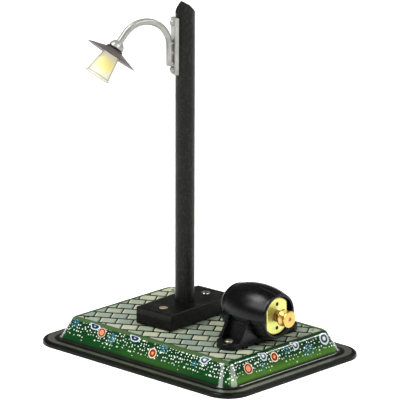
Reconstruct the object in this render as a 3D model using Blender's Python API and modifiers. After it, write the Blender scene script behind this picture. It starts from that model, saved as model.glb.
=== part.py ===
"""Toy street lamp lit by a belt-driven dynamo, on a pressed-tin tray.

Metres, +Z up. The origin is the middle of the tray's footprint on the floor.
+X runs along the tray's long side, towards the dynamo's pulley.
"""
import math

import bmesh
import bpy
from mathutils import Matrix, Vector

MM = 0.001
GAP = 0.3 * MM
MERGE = 0.00002

# Tray: one sheet, pressed up into a flat-topped box with an outer flange.
TRAY_LENGTH = 110.9 * MM
TRAY_WIDTH = 82.7 * MM
TRAY_HEIGHT = 11.0 * MM
TRAY_SHEET = 0.4 * MM
TRAY_CORNER = 10.5 * MM
TRAY_TOP_CORNER = 3.6 * MM
TRAY_BORDER = 12.05 * MM
SIDE_SLOPE = math.radians(63)
SHOULDER_RADIUS = 2.2 * MM
FOLD_RADIUS = 1.2 * MM
FLANGE_TOP = 2.0 * MM
RIM_RADIUS = 1.0 * MM
CORNER_HOLE_X = 39.2 * MM
CORNER_HOLE_Y = 25.5 * MM
CORNER_HOLE_RADIUS = 0.95 * MM

# Mast and its foot block.
MAST_X = -9.85 * MM
CENTRE_Y = 1.85 * MM
MAST_RADIUS = 4.0 * MM
MAST_TOP = 144.0 * MM
ARM_HEADING = math.radians(-111.7)
BLOCK_LENGTH = 39.2 * MM
BLOCK_WIDTH = 19.2 * MM
BLOCK_TOP = 18.4 * MM
BLOCK_TURN = math.radians(3)
BLOCK_EDGE = 0.7 * MM
SOCKET_FLOOR = 1.2 * MM
BLOCK_SCREW_OFFSET = 13.4 * MM
LEAD_RADIUS = 0.45 * MM
LEAD_BORE = 0.9 * MM
MAST_BORE = 1.2 * MM
LEAD_EXIT_Z = 123.8 * MM

# Bracket, measured outwards from the mast's axis.
PLATE_BACK = 3.6 * MM
PLATE_FRONT = 5.5 * MM
PLATE_WIDTH = 4.6 * MM
PLATE_BOTTOM = 114.6 * MM
PLATE_TOP = 138.3 * MM
BOLT_INSET = 2.1 * MM
BOLT_HEAD_RADIUS = 1.45 * MM
BOLT_HEAD_HEIGHT = 1.0 * MM
BOLT_RADIUS = 0.7 * MM
KNOB_RADIUS = 0.6 * MM
KNOB_REACH = 1.2 * MM
KNOB_UPPER_Z = 128.0 * MM
KNOB_LOWER_Z = 119.7 * MM

# Swan neck: a rising leg, a wide arch and a straight run down to the lamp.
NECK_RADIUS = 1.4 * MM
NECK_BORE = 0.75 * MM
NECK_U = 7.1 * MM
NECK_BOTTOM = 118.4 * MM
ARCH_RADIUS = 10.9 * MM
ARCH_Z = 127.0 * MM
LAMP_TILT = math.radians(37.5)
LAMP_DROP = 6.5 * MM
NECK_IN_CAP = 1.7 * MM

# Lamp, measured down its own axis from the seat between cap and shade.
CAP_RADIUS = 3.2 * MM
COLLAR_RADIUS = 3.55 * MM
COLLAR_BOTTOM = 1.1 * MM
SHADE_RADIUS = 11.15 * MM
SHADE_RIM = 3.4 * MM
SHADE_SHEET = 0.35 * MM
SHADE_HOLE = 2.3 * MM
GLASS_TOP = 2.5 * MM
GLASS_TOP_RADIUS = 3.5 * MM
GLASS_BOTTOM = 13.9 * MM
GLASS_BOTTOM_RADIUS = 5.1 * MM
GLASS_BEAD = 5.45 * MM
GLASS_WALL = 0.5 * MM

# Dynamo housing, measured along its axis (world X) and out from it.
AXIS_Z = 22.85 * MM
HOUSING_REAR = 16.6 * MM
HOUSING_FRONT = 42.6 * MM
HOUSING_RADIUS = 11.25 * MM
HOUSING_MIDDLE = 31.0 * MM
HOUSING_BOW = 33.0 * MM
REAR_ROUND = 4.0 * MM
FRONT_ROUND = 0.6 * MM
CAVITY_RADIUS = 8.05 * MM
RELIEF_RADIUS = 9.6 * MM
SEAM_Z = 22.3 * MM
SADDLE_REAR = 24.6 * MM
SADDLE_FRONT = 36.6 * MM
SADDLE_WALL = 1.3 * MM
SADDLE_FOOT_HALF = 16.6 * MM
SADDLE_TOP_HALF = 11.6 * MM
CORE_FOOT_HALF = 13.0 * MM
CORE_TOP_HALF = 10.2 * MM
LUG_HALF_LENGTH = 21.4 * MM
LUG_THICKNESS = 2.5 * MM
DYNAMO_SCREW_OFFSET = 17.1 * MM
LEAD_SIDE = 7.0 * MM

# Motor used as a generator: a flat-sided can.
CAN_REAR = 21.3 * MM
CAN_FRONT = 41.4 * MM
CAN_RADIUS = 7.75 * MM
CAN_FLAT = 6.0 * MM
CAN_SHEET = 0.5 * MM
FACE_HOLE_OFFSET = 5.0 * MM
FACE_HOLE_RADIUS = 0.85 * MM
SHAFT_RADIUS = 0.75 * MM
SHAFT_BORE = SHAFT_RADIUS + GAP
SHAFT_REAR = 20.2 * MM
SHAFT_FRONT = 48.2 * MM
BUSH_RADIUS = 1.9 * MM
BUSH_FLANGE = 2.4 * MM
CORE_REAR = 26.5 * MM
CORE_FRONT = 35.5 * MM
CORE_RADIUS = 4.6 * MM
POLE_COUNT = 3
POLE_NECK = 0.8 * MM
MAGNET_INNER = 5.3 * MM
MAGNET_HALF_ANGLE = math.radians(42)
TERMINAL_OFFSET = 3.6 * MM

# Pulley.
PULLEY_REAR = 44.3 * MM
PULLEY_FRONT = 48.4 * MM
PULLEY_RADIUS = 3.5 * MM
PULLEY_ROOT = 2.3 * MM
PULLEY_FLANGE = 0.8 * MM

# Small screws and nuts.
SCREW_RADIUS = 1.0 * MM
SCREW_HOLE = SCREW_RADIUS + GAP
SCREW_HEAD_RADIUS = 1.8 * MM
SCREW_HEAD_HEIGHT = 0.8 * MM
NUT_RADIUS = 2.3 * MM
NUT_THICKNESS = 1.5 * MM

PARTS = None
CUTTERS = None
FINISHES = {}


def clear_scene():
    """Remove every object of the opened scene."""
    for obj in list(bpy.data.objects):
        bpy.data.objects.remove(obj, do_unlink=True)


def make_collection(name):
    """Add a collection to the scene."""
    collection = bpy.data.collections.new(name)
    bpy.context.scene.collection.children.link(collection)
    return collection


def make_finish(name, colour, roughness, metallic=0.0):
    """Add a Principled material and remember it by name."""
    finish = bpy.data.materials.new(name)
    finish.use_nodes = True
    shader = finish.node_tree.nodes["Principled BSDF"]
    shader.inputs["Base Color"].default_value = (*colour, 1.0)
    shader.inputs["Roughness"].default_value = roughness
    shader.inputs["Metallic"].default_value = metallic
    FINISHES[name] = finish


def make_finishes():
    """Add the materials of all parts."""
    make_finish("printed_tin", (0.07, 0.25, 0.09), 0.25, 0.1)
    make_finish("black_wood", (0.012, 0.012, 0.012), 0.45)
    make_finish("grey_cast", (0.45, 0.44, 0.42), 0.4, 0.5)
    make_finish("shade_enamel", (0.12, 0.09, 0.10), 0.4, 0.2)
    make_finish("frosted_glass", (0.95, 0.90, 0.62), 0.3)
    make_finish("bulb_glow", (1.0, 0.82, 0.30), 0.2)
    make_finish("black_plastic", (0.015, 0.015, 0.017), 0.38)
    make_finish("bright_nickel", (0.70, 0.68, 0.62), 0.25, 1.0)
    make_finish("brass", (0.78, 0.55, 0.22), 0.25, 1.0)
    make_finish("yellow_zinc", (0.75, 0.72, 0.28), 0.3, 0.8)
    make_finish("motor_steel", (0.45, 0.45, 0.46), 0.35, 1.0)
    make_finish("magnet_ferrite", (0.07, 0.07, 0.08), 0.7)
    make_finish("winding_copper", (0.60, 0.26, 0.10), 0.35, 0.8)
    make_finish("ivory_plastic", (0.72, 0.68, 0.56), 0.5)
    make_finish("lead_insulation", (0.03, 0.03, 0.03), 0.5)


def add_object(name, mesh, finish=None, parent=None, place=Matrix.Identity(4)):
    """Put a mesh in the scene, as a part or, without a finish, as a cutter."""
    obj = bpy.data.objects.new(name, mesh)
    obj.parent = parent
    obj.matrix_local = place
    if finish is None:
        CUTTERS.objects.link(obj)
        obj.hide_render = True
        obj.display_type = "WIRE"
    else:
        PARTS.objects.link(obj)
        mesh.materials.append(FINISHES[finish])
    return obj


def add_frame(name, place, parent=None):
    """Add an empty that other objects hang on."""
    frame = bpy.data.objects.new(name, None)
    frame.empty_display_size = 5 * MM
    frame.parent = parent
    frame.matrix_local = place
    PARTS.objects.link(frame)
    return frame


def mesh_from(name, bm):
    """Turn a bmesh into a mesh, smooth where its faces meet at small angles."""
    bmesh.ops.recalc_face_normals(bm, faces=bm.faces)
    mesh = bpy.data.meshes.new(name)
    bm.to_mesh(mesh)
    bm.free()
    mesh.shade_smooth()
    mesh.set_sharp_from_angle(angle=math.radians(35))
    return mesh


def box(name, low, high, **how):
    """Add a box between two corners."""
    low, high = Vector(low), Vector(high)
    bm = bmesh.new()
    bmesh.ops.create_cube(bm, size=1.0)
    bmesh.ops.scale(bm, vec=high - low, verts=bm.verts)
    bmesh.ops.translate(bm, vec=(low + high) / 2, verts=bm.verts)
    return add_object(name, mesh_from(name, bm), **how)


def rod(name, start, end, radius, segments=24, **how):
    """Add a cylinder between two points."""
    start, end = Vector(start), Vector(end)
    along = end - start
    bm = bmesh.new()
    bmesh.ops.create_cone(
        bm, cap_ends=True, segments=segments, radius1=radius, radius2=radius, depth=along.length
    )
    turn = Vector((0, 0, 1)).rotation_difference(along).to_matrix().to_4x4()
    bmesh.ops.transform(bm, matrix=Matrix.Translation((start + end) / 2) @ turn, verts=bm.verts)
    return add_object(name, mesh_from(name, bm), **how)


def turned(name, profile, steps=32, closed=False, **how):
    """Spin a profile of (radius, height) points about Z; it runs down its outer side."""
    count = len(profile)
    edges = [(i, i + 1) for i in range(count - 1)]
    if closed:
        edges.append((count - 1, 0))
    mesh = bpy.data.meshes.new(name)
    mesh.from_pydata([(radius, 0, height) for radius, height in profile], edges, [])
    obj = add_object(name, mesh, **how)
    screw = obj.modifiers.new("Spin", "SCREW")
    screw.steps = steps
    screw.render_steps = steps
    screw.use_merge_vertices = True
    screw.merge_threshold = MERGE
    screw.use_smooth_shade = True
    return obj


def outline(name, loops, low, high, **how):
    """Extrude flat outlines, given as loops of (x, y) points, between two heights."""
    curve = bpy.data.curves.new(name, "CURVE")
    curve.dimensions = "2D"
    curve.fill_mode = "BOTH"
    curve.extrude = (high - low) / 2
    for loop in loops:
        spline = curve.splines.new("POLY")
        spline.points.add(len(loop) - 1)
        for point, (x, y) in zip(spline.points, loop):
            point.co = (x, y, 0, 1)
        spline.use_cyclic_u = True
    return from_curve(name, curve, Matrix.Translation((0, 0, (low + high) / 2)), **how)


def tube(name, path, radius, radii=None, sides=3, **how):
    """Sweep a round section along a path of points, with a scale at each point if given."""
    curve = bpy.data.curves.new(name, "CURVE")
    curve.dimensions = "3D"
    curve.bevel_depth = radius
    curve.bevel_resolution = sides
    curve.use_fill_caps = True
    spline = curve.splines.new("POLY")
    spline.points.add(len(path) - 1)
    for index, point in enumerate(path):
        spline.points[index].co = (*point, 1)
        if radii:
            spline.points[index].radius = radii[index]
    return from_curve(name, curve, Matrix.Identity(4), **how)


def from_curve(name, curve, shift, **how):
    """Make a mesh object of a curve, with its caps welded on."""
    guide = bpy.data.objects.new(name + "_curve", curve)
    bpy.context.scene.collection.objects.link(guide)
    depsgraph = bpy.context.evaluated_depsgraph_get()
    raw = bpy.data.meshes.new_from_object(guide.evaluated_get(depsgraph))
    bpy.data.objects.remove(guide, do_unlink=True)
    bm = bmesh.new()
    bm.from_mesh(raw)
    bpy.data.meshes.remove(raw)
    bmesh.ops.remove_doubles(bm, verts=bm.verts, dist=MERGE)
    bmesh.ops.transform(bm, matrix=shift, verts=bm.verts)
    return add_object(name, mesh_from(name, bm), **how)


def boolean(obj, tool, operation="DIFFERENCE"):
    """Cut a tool out of an object, or join the tool to it."""
    modifier = obj.modifiers.new(tool.name, "BOOLEAN")
    modifier.operation = operation
    modifier.solver = "EXACT"
    modifier.object = tool


def rounded_path(points, bend, steps=4):
    """Round the corners of a path of points with arcs of one bend radius."""
    path = [Vector(points[0])]
    for before, corner, after in zip(points, points[1:], points[2:]):
        corner = Vector(corner)
        inward = (Vector(before) - corner).normalized()
        outward = (Vector(after) - corner).normalized()
        half = inward.angle(outward) / 2
        reach = bend / math.tan(half)
        middle = corner + (inward + outward).normalized() * (bend / math.sin(half))
        first = (corner + inward * reach - middle).normalized()
        last = (corner + outward * reach - middle).normalized()
        for step in range(steps + 1):
            path.append(middle + first.slerp(last, step / steps) * bend)
    path.append(Vector(points[-1]))
    return path


def along_x(start=0.0):
    """Place a turned piece so that its own Z runs along +X from a point on the dynamo's axis."""
    return Matrix.Translation((start, 0, 0)) @ Matrix.Rotation(math.radians(90), 4, "Y")


def arc(centre, radius, start, end, steps):
    """Points of an arc in a plane, angles in degrees."""
    angles = [math.radians(start + (end - start) * k / steps) for k in range(steps + 1)]
    return [(centre[0] + radius * math.cos(a), centre[1] + radius * math.sin(a)) for a in angles]


# ---------------------------------------------------------------- tray


def tray_profile():
    """Steps out from the flat top's edge, and heights, down to the rim on the floor."""
    points = []
    for step in range(5):
        turn = SIDE_SLOPE * step / 4
        rise = SHOULDER_RADIUS * (1 - math.cos(turn))
        points.append((SHOULDER_RADIUS * math.sin(turn), TRAY_HEIGHT - rise))
    slope_out, slope_z = points[-1]
    fold_z = FLANGE_TOP + FOLD_RADIUS * (1 - math.cos(SIDE_SLOPE))
    fold_out = slope_out + (slope_z - fold_z) / math.tan(SIDE_SLOPE)
    fold_centre = fold_out + FOLD_RADIUS * math.sin(SIDE_SLOPE)
    for step in range(4):
        turn = SIDE_SLOPE * (1 - step / 3)
        drop = FOLD_RADIUS * (1 - math.cos(turn))
        points.append((fold_centre - FOLD_RADIUS * math.sin(turn), FLANGE_TOP + drop))
    for step in range(4):
        turn = math.radians(90) * (1 - step / 3)
        out = TRAY_BORDER - RIM_RADIUS * (1 - math.cos(turn))
        points.append((out, FLANGE_TOP - RIM_RADIUS * (1 - math.sin(turn))))
    points.append((TRAY_BORDER, 0.0))
    return points


def tray_ring(bm, out, height):
    """One rounded rectangle of the tray, a given way out from the flat top's edge."""
    half_x = TRAY_LENGTH / 2 - TRAY_BORDER + out
    half_y = TRAY_WIDTH / 2 - TRAY_BORDER + out
    radius = TRAY_TOP_CORNER + (TRAY_CORNER - TRAY_TOP_CORNER) * out / TRAY_BORDER
    ring = []
    for quarter in range(4):
        side_x = (1, -1, -1, 1)[quarter]
        side_y = (1, 1, -1, -1)[quarter]
        centre = (side_x * (half_x - radius), side_y * (half_y - radius))
        for x, y in arc(centre, radius, 90 * quarter, 90 * quarter + 90, 6):
            ring.append(bm.verts.new((x, y, height)))
    return ring


def make_tray():
    """Press the tray: a flat top, sloping sides and a flange with a turned-down rim."""
    bm = bmesh.new()
    rings = [tray_ring(bm, out, height) for out, height in tray_profile()]
    bm.faces.new(rings[0])
    for upper, lower in zip(rings, rings[1:]):
        upper_edges = [bm.edges.get((a, b)) or bm.edges.new((a, b)) for a, b in pairs(upper)]
        lower_edges = [bm.edges.new((a, b)) for a, b in pairs(lower)]
        bmesh.ops.bridge_loops(bm, edges=upper_edges + lower_edges)
    tray = add_object("base_tray", mesh_from("base_tray", bm), "printed_tin")
    shell = tray.modifiers.new("Sheet", "SOLIDIFY")
    shell.thickness = TRAY_SHEET
    shell.offset = -1
    shell.use_even_offset = True
    for side_x in (-1, 1):
        for side_y in (-1, 1):
            place = (side_x * CORNER_HOLE_X, side_y * CORNER_HOLE_Y)
            tray_hole(tray, "corner_hole", place, CORNER_HOLE_RADIUS)
    for x, y in block_screw_places() + dynamo_screw_places():
        tray_hole(tray, "screw_hole", (x, y), SCREW_HOLE)
    tray_hole(tray, "mast_lead_hole", (MAST_X, CENTRE_Y), LEAD_BORE)
    tray_hole(tray, "dynamo_lead_hole", (HOUSING_MIDDLE, CENTRE_Y - LEAD_SIDE), LEAD_BORE)


def pairs(ring):
    """Neighbours round a closed ring."""
    return list(zip(ring, ring[1:] + ring[:1]))


def tray_hole(tray, name, place, radius):
    """Pierce the tray's flat top."""
    low = (*place, TRAY_HEIGHT - 2 * MM)
    high = (*place, TRAY_HEIGHT + 2 * MM)
    boolean(tray, rod(name + "_cutter", low, high, radius, segments=16))


# ---------------------------------------------------------------- mast


def block_screw_places():
    """Where the two foot-block screws stand, near and far."""
    along = (-math.sin(BLOCK_TURN) * BLOCK_SCREW_OFFSET, math.cos(BLOCK_TURN) * BLOCK_SCREW_OFFSET)
    return [(MAST_X + side * along[0], CENTRE_Y + side * along[1]) for side in (-1, 1)]


def dynamo_screw_places():
    """Where the two saddle screws stand, near and far."""
    return [(HOUSING_MIDDLE, CENTRE_Y + side * DYNAMO_SCREW_OFFSET) for side in (-1, 1)]


def make_foot_block():
    """The block that the mast stands in, with its socket, screw holes and lead hole."""
    place = Matrix.Translation((MAST_X, CENTRE_Y, 0)) @ Matrix.Rotation(BLOCK_TURN, 4, "Z")
    low = (-BLOCK_WIDTH / 2, -BLOCK_LENGTH / 2, TRAY_HEIGHT + GAP)
    high = (BLOCK_WIDTH / 2, BLOCK_LENGTH / 2, BLOCK_TOP)
    block = box("mast_foot_block", low, high, finish="black_wood", place=place)
    bevel = block.modifiers.new("Edges", "BEVEL")
    bevel.width = BLOCK_EDGE
    bevel.segments = 3
    floor = TRAY_HEIGHT + GAP + SOCKET_FLOOR
    socket_top = (0, 0, BLOCK_TOP + 2 * MM)
    socket = rod("socket_cutter", (0, 0, floor), socket_top, MAST_RADIUS + GAP, 48, place=place)
    boolean(block, socket)
    lead = rod("block_lead_cutter", (0, 0, 0), (0, 0, BLOCK_TOP), LEAD_BORE, 16, place=place)
    boolean(block, lead)
    for x, y in block_screw_places():
        hole = rod("block_screw_cutter", (x, y, 0), (x, y, BLOCK_TOP + 2 * MM), SCREW_HOLE, 16)
        boolean(block, hole)


def make_screw(name, place, seat):
    """A slotted round-head screw down from its seat, and its nut under the tray."""
    x, y = place
    nut_top = TRAY_HEIGHT - TRAY_SHEET - GAP
    tip = nut_top - NUT_THICKNESS - 0.5 * MM
    head = seat + GAP
    crown = [(0, SCREW_HEAD_HEIGHT), (0.5, 0.95), (0.85, 0.7), (1.0, 0.3), (1.0, 0.0)]
    profile = [(0, head + SCREW_HEAD_HEIGHT)]
    profile += [(SCREW_HEAD_RADIUS * r, head + SCREW_HEAD_HEIGHT * z) for r, z in crown[1:]]
    profile += [(SCREW_RADIUS, head), (SCREW_RADIUS, tip), (0, tip)]
    shift = Matrix.Translation((x, y, 0))
    screw = turned(name + "_screw", profile, 16, finish="bright_nickel", place=shift)
    slot_low = (-3 * MM, -0.25 * MM, head + SCREW_HEAD_HEIGHT * 0.5)
    slot_high = (3 * MM, 0.25 * MM, head + 3 * MM)
    boolean(screw, box(name + "_slot_cutter", slot_low, slot_high, place=shift))
    nut = rod(
        name + "_nut", (x, y, nut_top - NUT_THICKNESS), (x, y, nut_top), NUT_RADIUS, 6,
        finish="bright_nickel",
    )
    boolean(nut, rod(name + "_nut_cutter", (x, y, 0), (x, y, TRAY_HEIGHT), SCREW_HOLE, 16))


def bisect(bm, point, normal):
    """Cut away what lies on a plane's outer side and close the cut."""
    geometry = bm.verts[:] + bm.edges[:] + bm.faces[:]
    cut = bmesh.ops.bisect_plane(
        bm, geom=geometry, plane_co=point, plane_no=normal, clear_outer=True
    )
    edges = [e for e in cut["geom_cut"] if isinstance(e, bmesh.types.BMEdge)]
    bmesh.ops.contextual_create(bm, geom=edges)


def make_mast(swivel):
    """A dowel with a gabled top, bored for the lead and drilled for the bracket's bolts."""
    foot = TRAY_HEIGHT + SOCKET_FLOOR + 2 * GAP
    bm = bmesh.new()
    bmesh.ops.create_cone(
        bm, cap_ends=True, segments=48, radius1=MAST_RADIUS, radius2=MAST_RADIUS,
        depth=MAST_TOP - foot,
    )
    bmesh.ops.translate(bm, vec=(0, 0, (MAST_TOP + foot) / 2), verts=bm.verts)
    for side in (-1, 1):
        bisect(bm, (0, 0, MAST_TOP), (side, 0, 1))
    mast = add_object("mast_post", mesh_from("mast_post", bm), "black_wood", swivel)
    bore_top = LEAD_EXIT_Z + MAST_BORE
    boolean(mast, rod("mast_bore_cutter", (0, 0, 0), (0, 0, bore_top), MAST_BORE, 16, parent=swivel))
    exit_end = (MAST_RADIUS + 2 * MM, 0, LEAD_EXIT_Z)
    exit_hole = rod("mast_exit_cutter", (0, 0, LEAD_EXIT_Z), exit_end, LEAD_BORE, 16, parent=swivel)
    boolean(mast, exit_hole)
    for z in bolt_heights():
        hole = rod(
            "mast_bolt_cutter", (1.5 * MM, 0, z), (6 * MM, 0, z), BOLT_RADIUS + GAP, 12,
            parent=swivel,
        )
        boolean(mast, hole)


# ---------------------------------------------------------------- bracket and swan neck


def bolt_heights():
    """Heights of the bracket's two bolts."""
    return [PLATE_BOTTOM + BOLT_INSET, PLATE_TOP - BOLT_INSET]


def make_bracket(swivel):
    """The plate against the mast, hollowed behind to fit it, and its two bolts."""
    low = (PLATE_BACK, -PLATE_WIDTH / 2, PLATE_BOTTOM)
    high = (PLATE_FRONT, PLATE_WIDTH / 2, PLATE_TOP)
    plate = box("bracket_plate", low, high, finish="grey_cast", parent=swivel)
    bevel = plate.modifiers.new("Edges", "BEVEL")
    bevel.width = 0.25 * MM
    bevel.segments = 2
    seat_radius = MAST_RADIUS + GAP
    seat_ends = (0, 0, PLATE_BOTTOM - 5 * MM), (0, 0, PLATE_TOP + 5 * MM)
    boolean(plate, rod("plate_seat_cutter", *seat_ends, seat_radius, 48, parent=swivel))
    lead_ends = (2 * MM, 0, LEAD_EXIT_Z), (8 * MM, 0, LEAD_EXIT_Z)
    boolean(plate, rod("plate_lead_cutter", *lead_ends, NECK_BORE, 16, parent=swivel))
    for label, z in zip(("lower", "upper"), bolt_heights()):
        hole_ends = (2 * MM, 0, z), (8 * MM, 0, z)
        boolean(plate, rod("plate_bolt_cutter", *hole_ends, BOLT_RADIUS + GAP, 12, parent=swivel))
        make_bolt("bracket_bolt_" + label, z, swivel)


def make_bolt(name, z, swivel):
    """A round-head bolt into the mast, square to the plate."""
    seat = PLATE_FRONT + GAP
    profile = [
        (r * BOLT_HEAD_RADIUS, seat + h * BOLT_HEAD_HEIGHT)
        for r, h in ((0, 1.0), (0.4, 0.93), (0.75, 0.68), (0.95, 0.35), (1.0, 0.0))
    ]
    profile += [(BOLT_RADIUS, seat), (BOLT_RADIUS, 2.4 * MM), (0, 1.9 * MM)]
    place = Matrix.Translation((0, 0, z)) @ along_x()
    turned(name, profile, 16, finish="grey_cast", parent=swivel, place=place)


def neck_path(start, end_short):
    """The swan neck's centre line: up the leg, over the arch and down to the lamp."""
    centre_u = NECK_U + ARCH_RADIUS
    points = [(NECK_U, 0, start)]
    sweep = 180 - math.degrees(LAMP_TILT)
    for u, z in arc((centre_u, ARCH_Z), ARCH_RADIUS, 180, 180 - sweep, 18):
        points.append((u, 0, z))
    u, _, z = points[-1]
    run = LAMP_DROP - end_short
    points.append((u + run * math.sin(LAMP_TILT), 0, z - run * math.cos(LAMP_TILT)))
    return points


def make_neck(swivel):
    """The curved tube, with a fin against the plate and a knob on each side of the fin's ends."""
    path = neck_path(NECK_BOTTOM + 1.2 * MM, NECK_IN_CAP)
    path = [(NECK_U, 0, NECK_BOTTOM), (NECK_U, 0, NECK_BOTTOM + 0.4 * MM)] + path
    radii = [0.5, 0.8, 0.93] + [0.93 + 0.09 * k / 18 for k in range(19)] + [1.02]
    neck = tube(
        "swan_neck_tube", path, NECK_RADIUS, radii, sides=3, finish="grey_cast", parent=swivel
    )
    fin_low = (PLATE_FRONT + GAP, -0.6 * MM, KNOB_LOWER_Z - 0.9 * MM)
    fin_high = (NECK_U, 0.6 * MM, KNOB_UPPER_Z + 0.9 * MM)
    boolean(neck, box("neck_fin_tool", fin_low, fin_high, parent=swivel), "UNION")
    for z in (KNOB_LOWER_Z, KNOB_UPPER_Z):
        knob_u = PLATE_FRONT + GAP + 1.1 * KNOB_RADIUS
        knob_ends = (knob_u, -KNOB_REACH, z), (knob_u, KNOB_REACH, z)
        boolean(neck, rod("neck_knob_tool", *knob_ends, KNOB_RADIUS, 12, parent=swivel), "UNION")
    boss_ends = (PLATE_FRONT + GAP, 0, LEAD_EXIT_Z), (NECK_U, 0, LEAD_EXIT_Z)
    boolean(neck, rod("neck_boss_tool", *boss_ends, 1.2 * MM, 16, parent=swivel), "UNION")
    entry_ends = (4 * MM, 0, LEAD_EXIT_Z), (NECK_U, 0, LEAD_EXIT_Z)
    bore = tube("neck_bore_cutter", neck_path(LEAD_EXIT_Z - NECK_BORE, 0), NECK_BORE, sides=2,
                parent=swivel)
    boolean(neck, bore)
    boolean(neck, rod("neck_entry_cutter", *entry_ends, NECK_BORE, 12, parent=swivel))


# ---------------------------------------------------------------- lamp


def lamp_place():
    """The lamp's seat on the swan neck: own Z points back up the tube."""
    path = neck_path(NECK_BOTTOM, 0)
    u, _, z = path[-1]
    return Matrix.Translation((u, 0, z)) @ Matrix.Rotation(-LAMP_TILT, 4, "Y")


def make_lamp(swivel):
    """Cap, shade, glass, socket and bulb, all turned about the lamp's axis."""
    lamp = add_frame("lamp_axis", lamp_place(), swivel)
    neck_hole = NECK_RADIUS * 1.02 + GAP
    start = math.degrees(math.acos(neck_hole / CAP_RADIUS))
    dome = arc((0, 0), CAP_RADIUS, start, 0, 5)
    cap = dome + [(SHADE_HOLE + GAP, 0), (SHADE_HOLE + GAP, 0.8 * MM), (neck_hole, 1.6 * MM)]
    turned("lamp_cap", cap, 24, closed=True, finish="grey_cast", parent=lamp)
    shade = [
        (SHADE_HOLE, -GAP),
        (COLLAR_RADIUS, -GAP),
        (COLLAR_RADIUS, -COLLAR_BOTTOM),
        (SHADE_RADIUS, -SHADE_RIM),
        (SHADE_RADIUS, -SHADE_RIM - SHADE_SHEET),
        (COLLAR_RADIUS - 0.4 * MM, -COLLAR_BOTTOM - SHADE_SHEET - 0.1 * MM),
        (SHADE_HOLE, -COLLAR_BOTTOM - SHADE_SHEET - 0.1 * MM),
    ]
    turned("lamp_shade", shade, 32, closed=True, finish="shade_enamel", parent=lamp)
    lip = 0.7 * MM
    glass = [
        (SHADE_HOLE + 0.2 * MM, -GLASS_TOP),
        (GLASS_TOP_RADIUS - 0.2 * MM, -GLASS_TOP),
        (GLASS_TOP_RADIUS, -GLASS_TOP - 0.2 * MM),
        (GLASS_BOTTOM_RADIUS, -GLASS_BOTTOM + lip),
        (GLASS_BEAD, -GLASS_BOTTOM + lip * 0.6),
        (GLASS_BEAD, -GLASS_BOTTOM + lip * 0.2),
        (GLASS_BOTTOM_RADIUS, -GLASS_BOTTOM),
        (GLASS_BOTTOM_RADIUS - GLASS_WALL, -GLASS_BOTTOM + 0.1 * MM),
        (GLASS_TOP_RADIUS - GLASS_WALL, -GLASS_TOP - GLASS_WALL),
        (SHADE_HOLE + 0.2 * MM, -GLASS_TOP - GLASS_WALL),
    ]
    turned("lamp_glass", glass, 24, closed=True, finish="frosted_glass", parent=lamp)
    make_socket_and_bulb(lamp)


def make_socket_and_bulb(lamp):
    """The bulb holder through the shade, and the small bulb screwed into it."""
    barrel = SHADE_HOLE - GAP
    well = 1.5 * MM
    holder = [
        (0, 0.5 * MM),
        (barrel, 0.5 * MM),
        (barrel, -3.4 * MM),
        (well, -3.4 * MM),
        (well, -0.3 * MM),
        (0, -0.3 * MM),
    ]
    turned("bulb_socket", holder, 20, finish="brass", parent=lamp)
    thread = well - GAP
    base = [(0, -0.6 * MM), (thread, -0.6 * MM), (thread, -3.7 * MM), (0, -3.7 * MM)]
    turned("bulb_base", base, 16, finish="brass", parent=lamp)
    envelope = [(0, -4.0 * MM), (1.1 * MM, -4.0 * MM), (1.3 * MM, -4.8 * MM)]
    envelope += arc((0, -7.0 * MM), 1.9 * MM, 40, -90, 7)
    turned("bulb_glass", envelope, 16, finish="bulb_glow", parent=lamp)


# ---------------------------------------------------------------- dynamo housing


def barrel_radius(x):
    """The housing's outer radius at a place along its axis."""
    return HOUSING_RADIUS - HOUSING_BOW + math.sqrt(HOUSING_BOW**2 - (x - HOUSING_MIDDLE) ** 2)


def barrel_profile():
    """The barrel from the front opening, down its outer side, to the rear end."""
    front_edge = HOUSING_FRONT - FRONT_ROUND
    rear_edge = HOUSING_REAR + REAR_ROUND
    points = [(0, HOUSING_FRONT)]
    lip = barrel_radius(front_edge) - FRONT_ROUND
    points += arc((lip, front_edge), FRONT_ROUND, 90, 0, 3)
    steps = 10
    for step in range(1, steps):
        x = front_edge + (rear_edge - front_edge) * step / steps
        points.append((barrel_radius(x), x))
    rear = barrel_radius(rear_edge) - REAR_ROUND
    points += arc((rear, rear_edge), REAR_ROUND, 0, -90, 6)
    points.append((0, HOUSING_REAR))
    return points


def cavity_profile():
    """The hollow for the motor: two seats with a wider relief between them."""
    rear = HOUSING_REAR + 1.5 * MM
    relief_rear = SADDLE_REAR + 1.4 * MM
    relief_front = SADDLE_FRONT
    step = RELIEF_RADIUS - CAVITY_RADIUS
    return [
        (0, HOUSING_FRONT + 3 * MM),
        (CAVITY_RADIUS, HOUSING_FRONT + 3 * MM),
        (CAVITY_RADIUS, relief_front + step),
        (RELIEF_RADIUS, relief_front),
        (RELIEF_RADIUS, relief_rear),
        (CAVITY_RADIUS, relief_rear - step),
        (CAVITY_RADIUS, rear + 2 * MM),
        (CAVITY_RADIUS - 2 * MM, rear),
        (0, rear),
    ]


def trapezoid(foot_half, top_half):
    """A saddle section across the axis, from the lugs' top up to the seam."""
    foot = TRAY_HEIGHT + GAP + LUG_THICKNESS - AXIS_Z - 0.5 * MM
    top = SEAM_Z - GAP / 2 - AXIS_Z
    return [(-foot_half, foot), (foot_half, foot), (top_half, top), (-top_half, top)]


def saddle_slab(name, foot_half, top_half, rear, front, dynamo):
    """A slab across the axis between two places along it."""
    stand = Matrix.Rotation(math.radians(90), 4, "Z") @ Matrix.Rotation(math.radians(90), 4, "X")
    return outline(
        name, [trapezoid(foot_half, top_half)], rear, front, parent=dynamo, place=stand
    )


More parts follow.
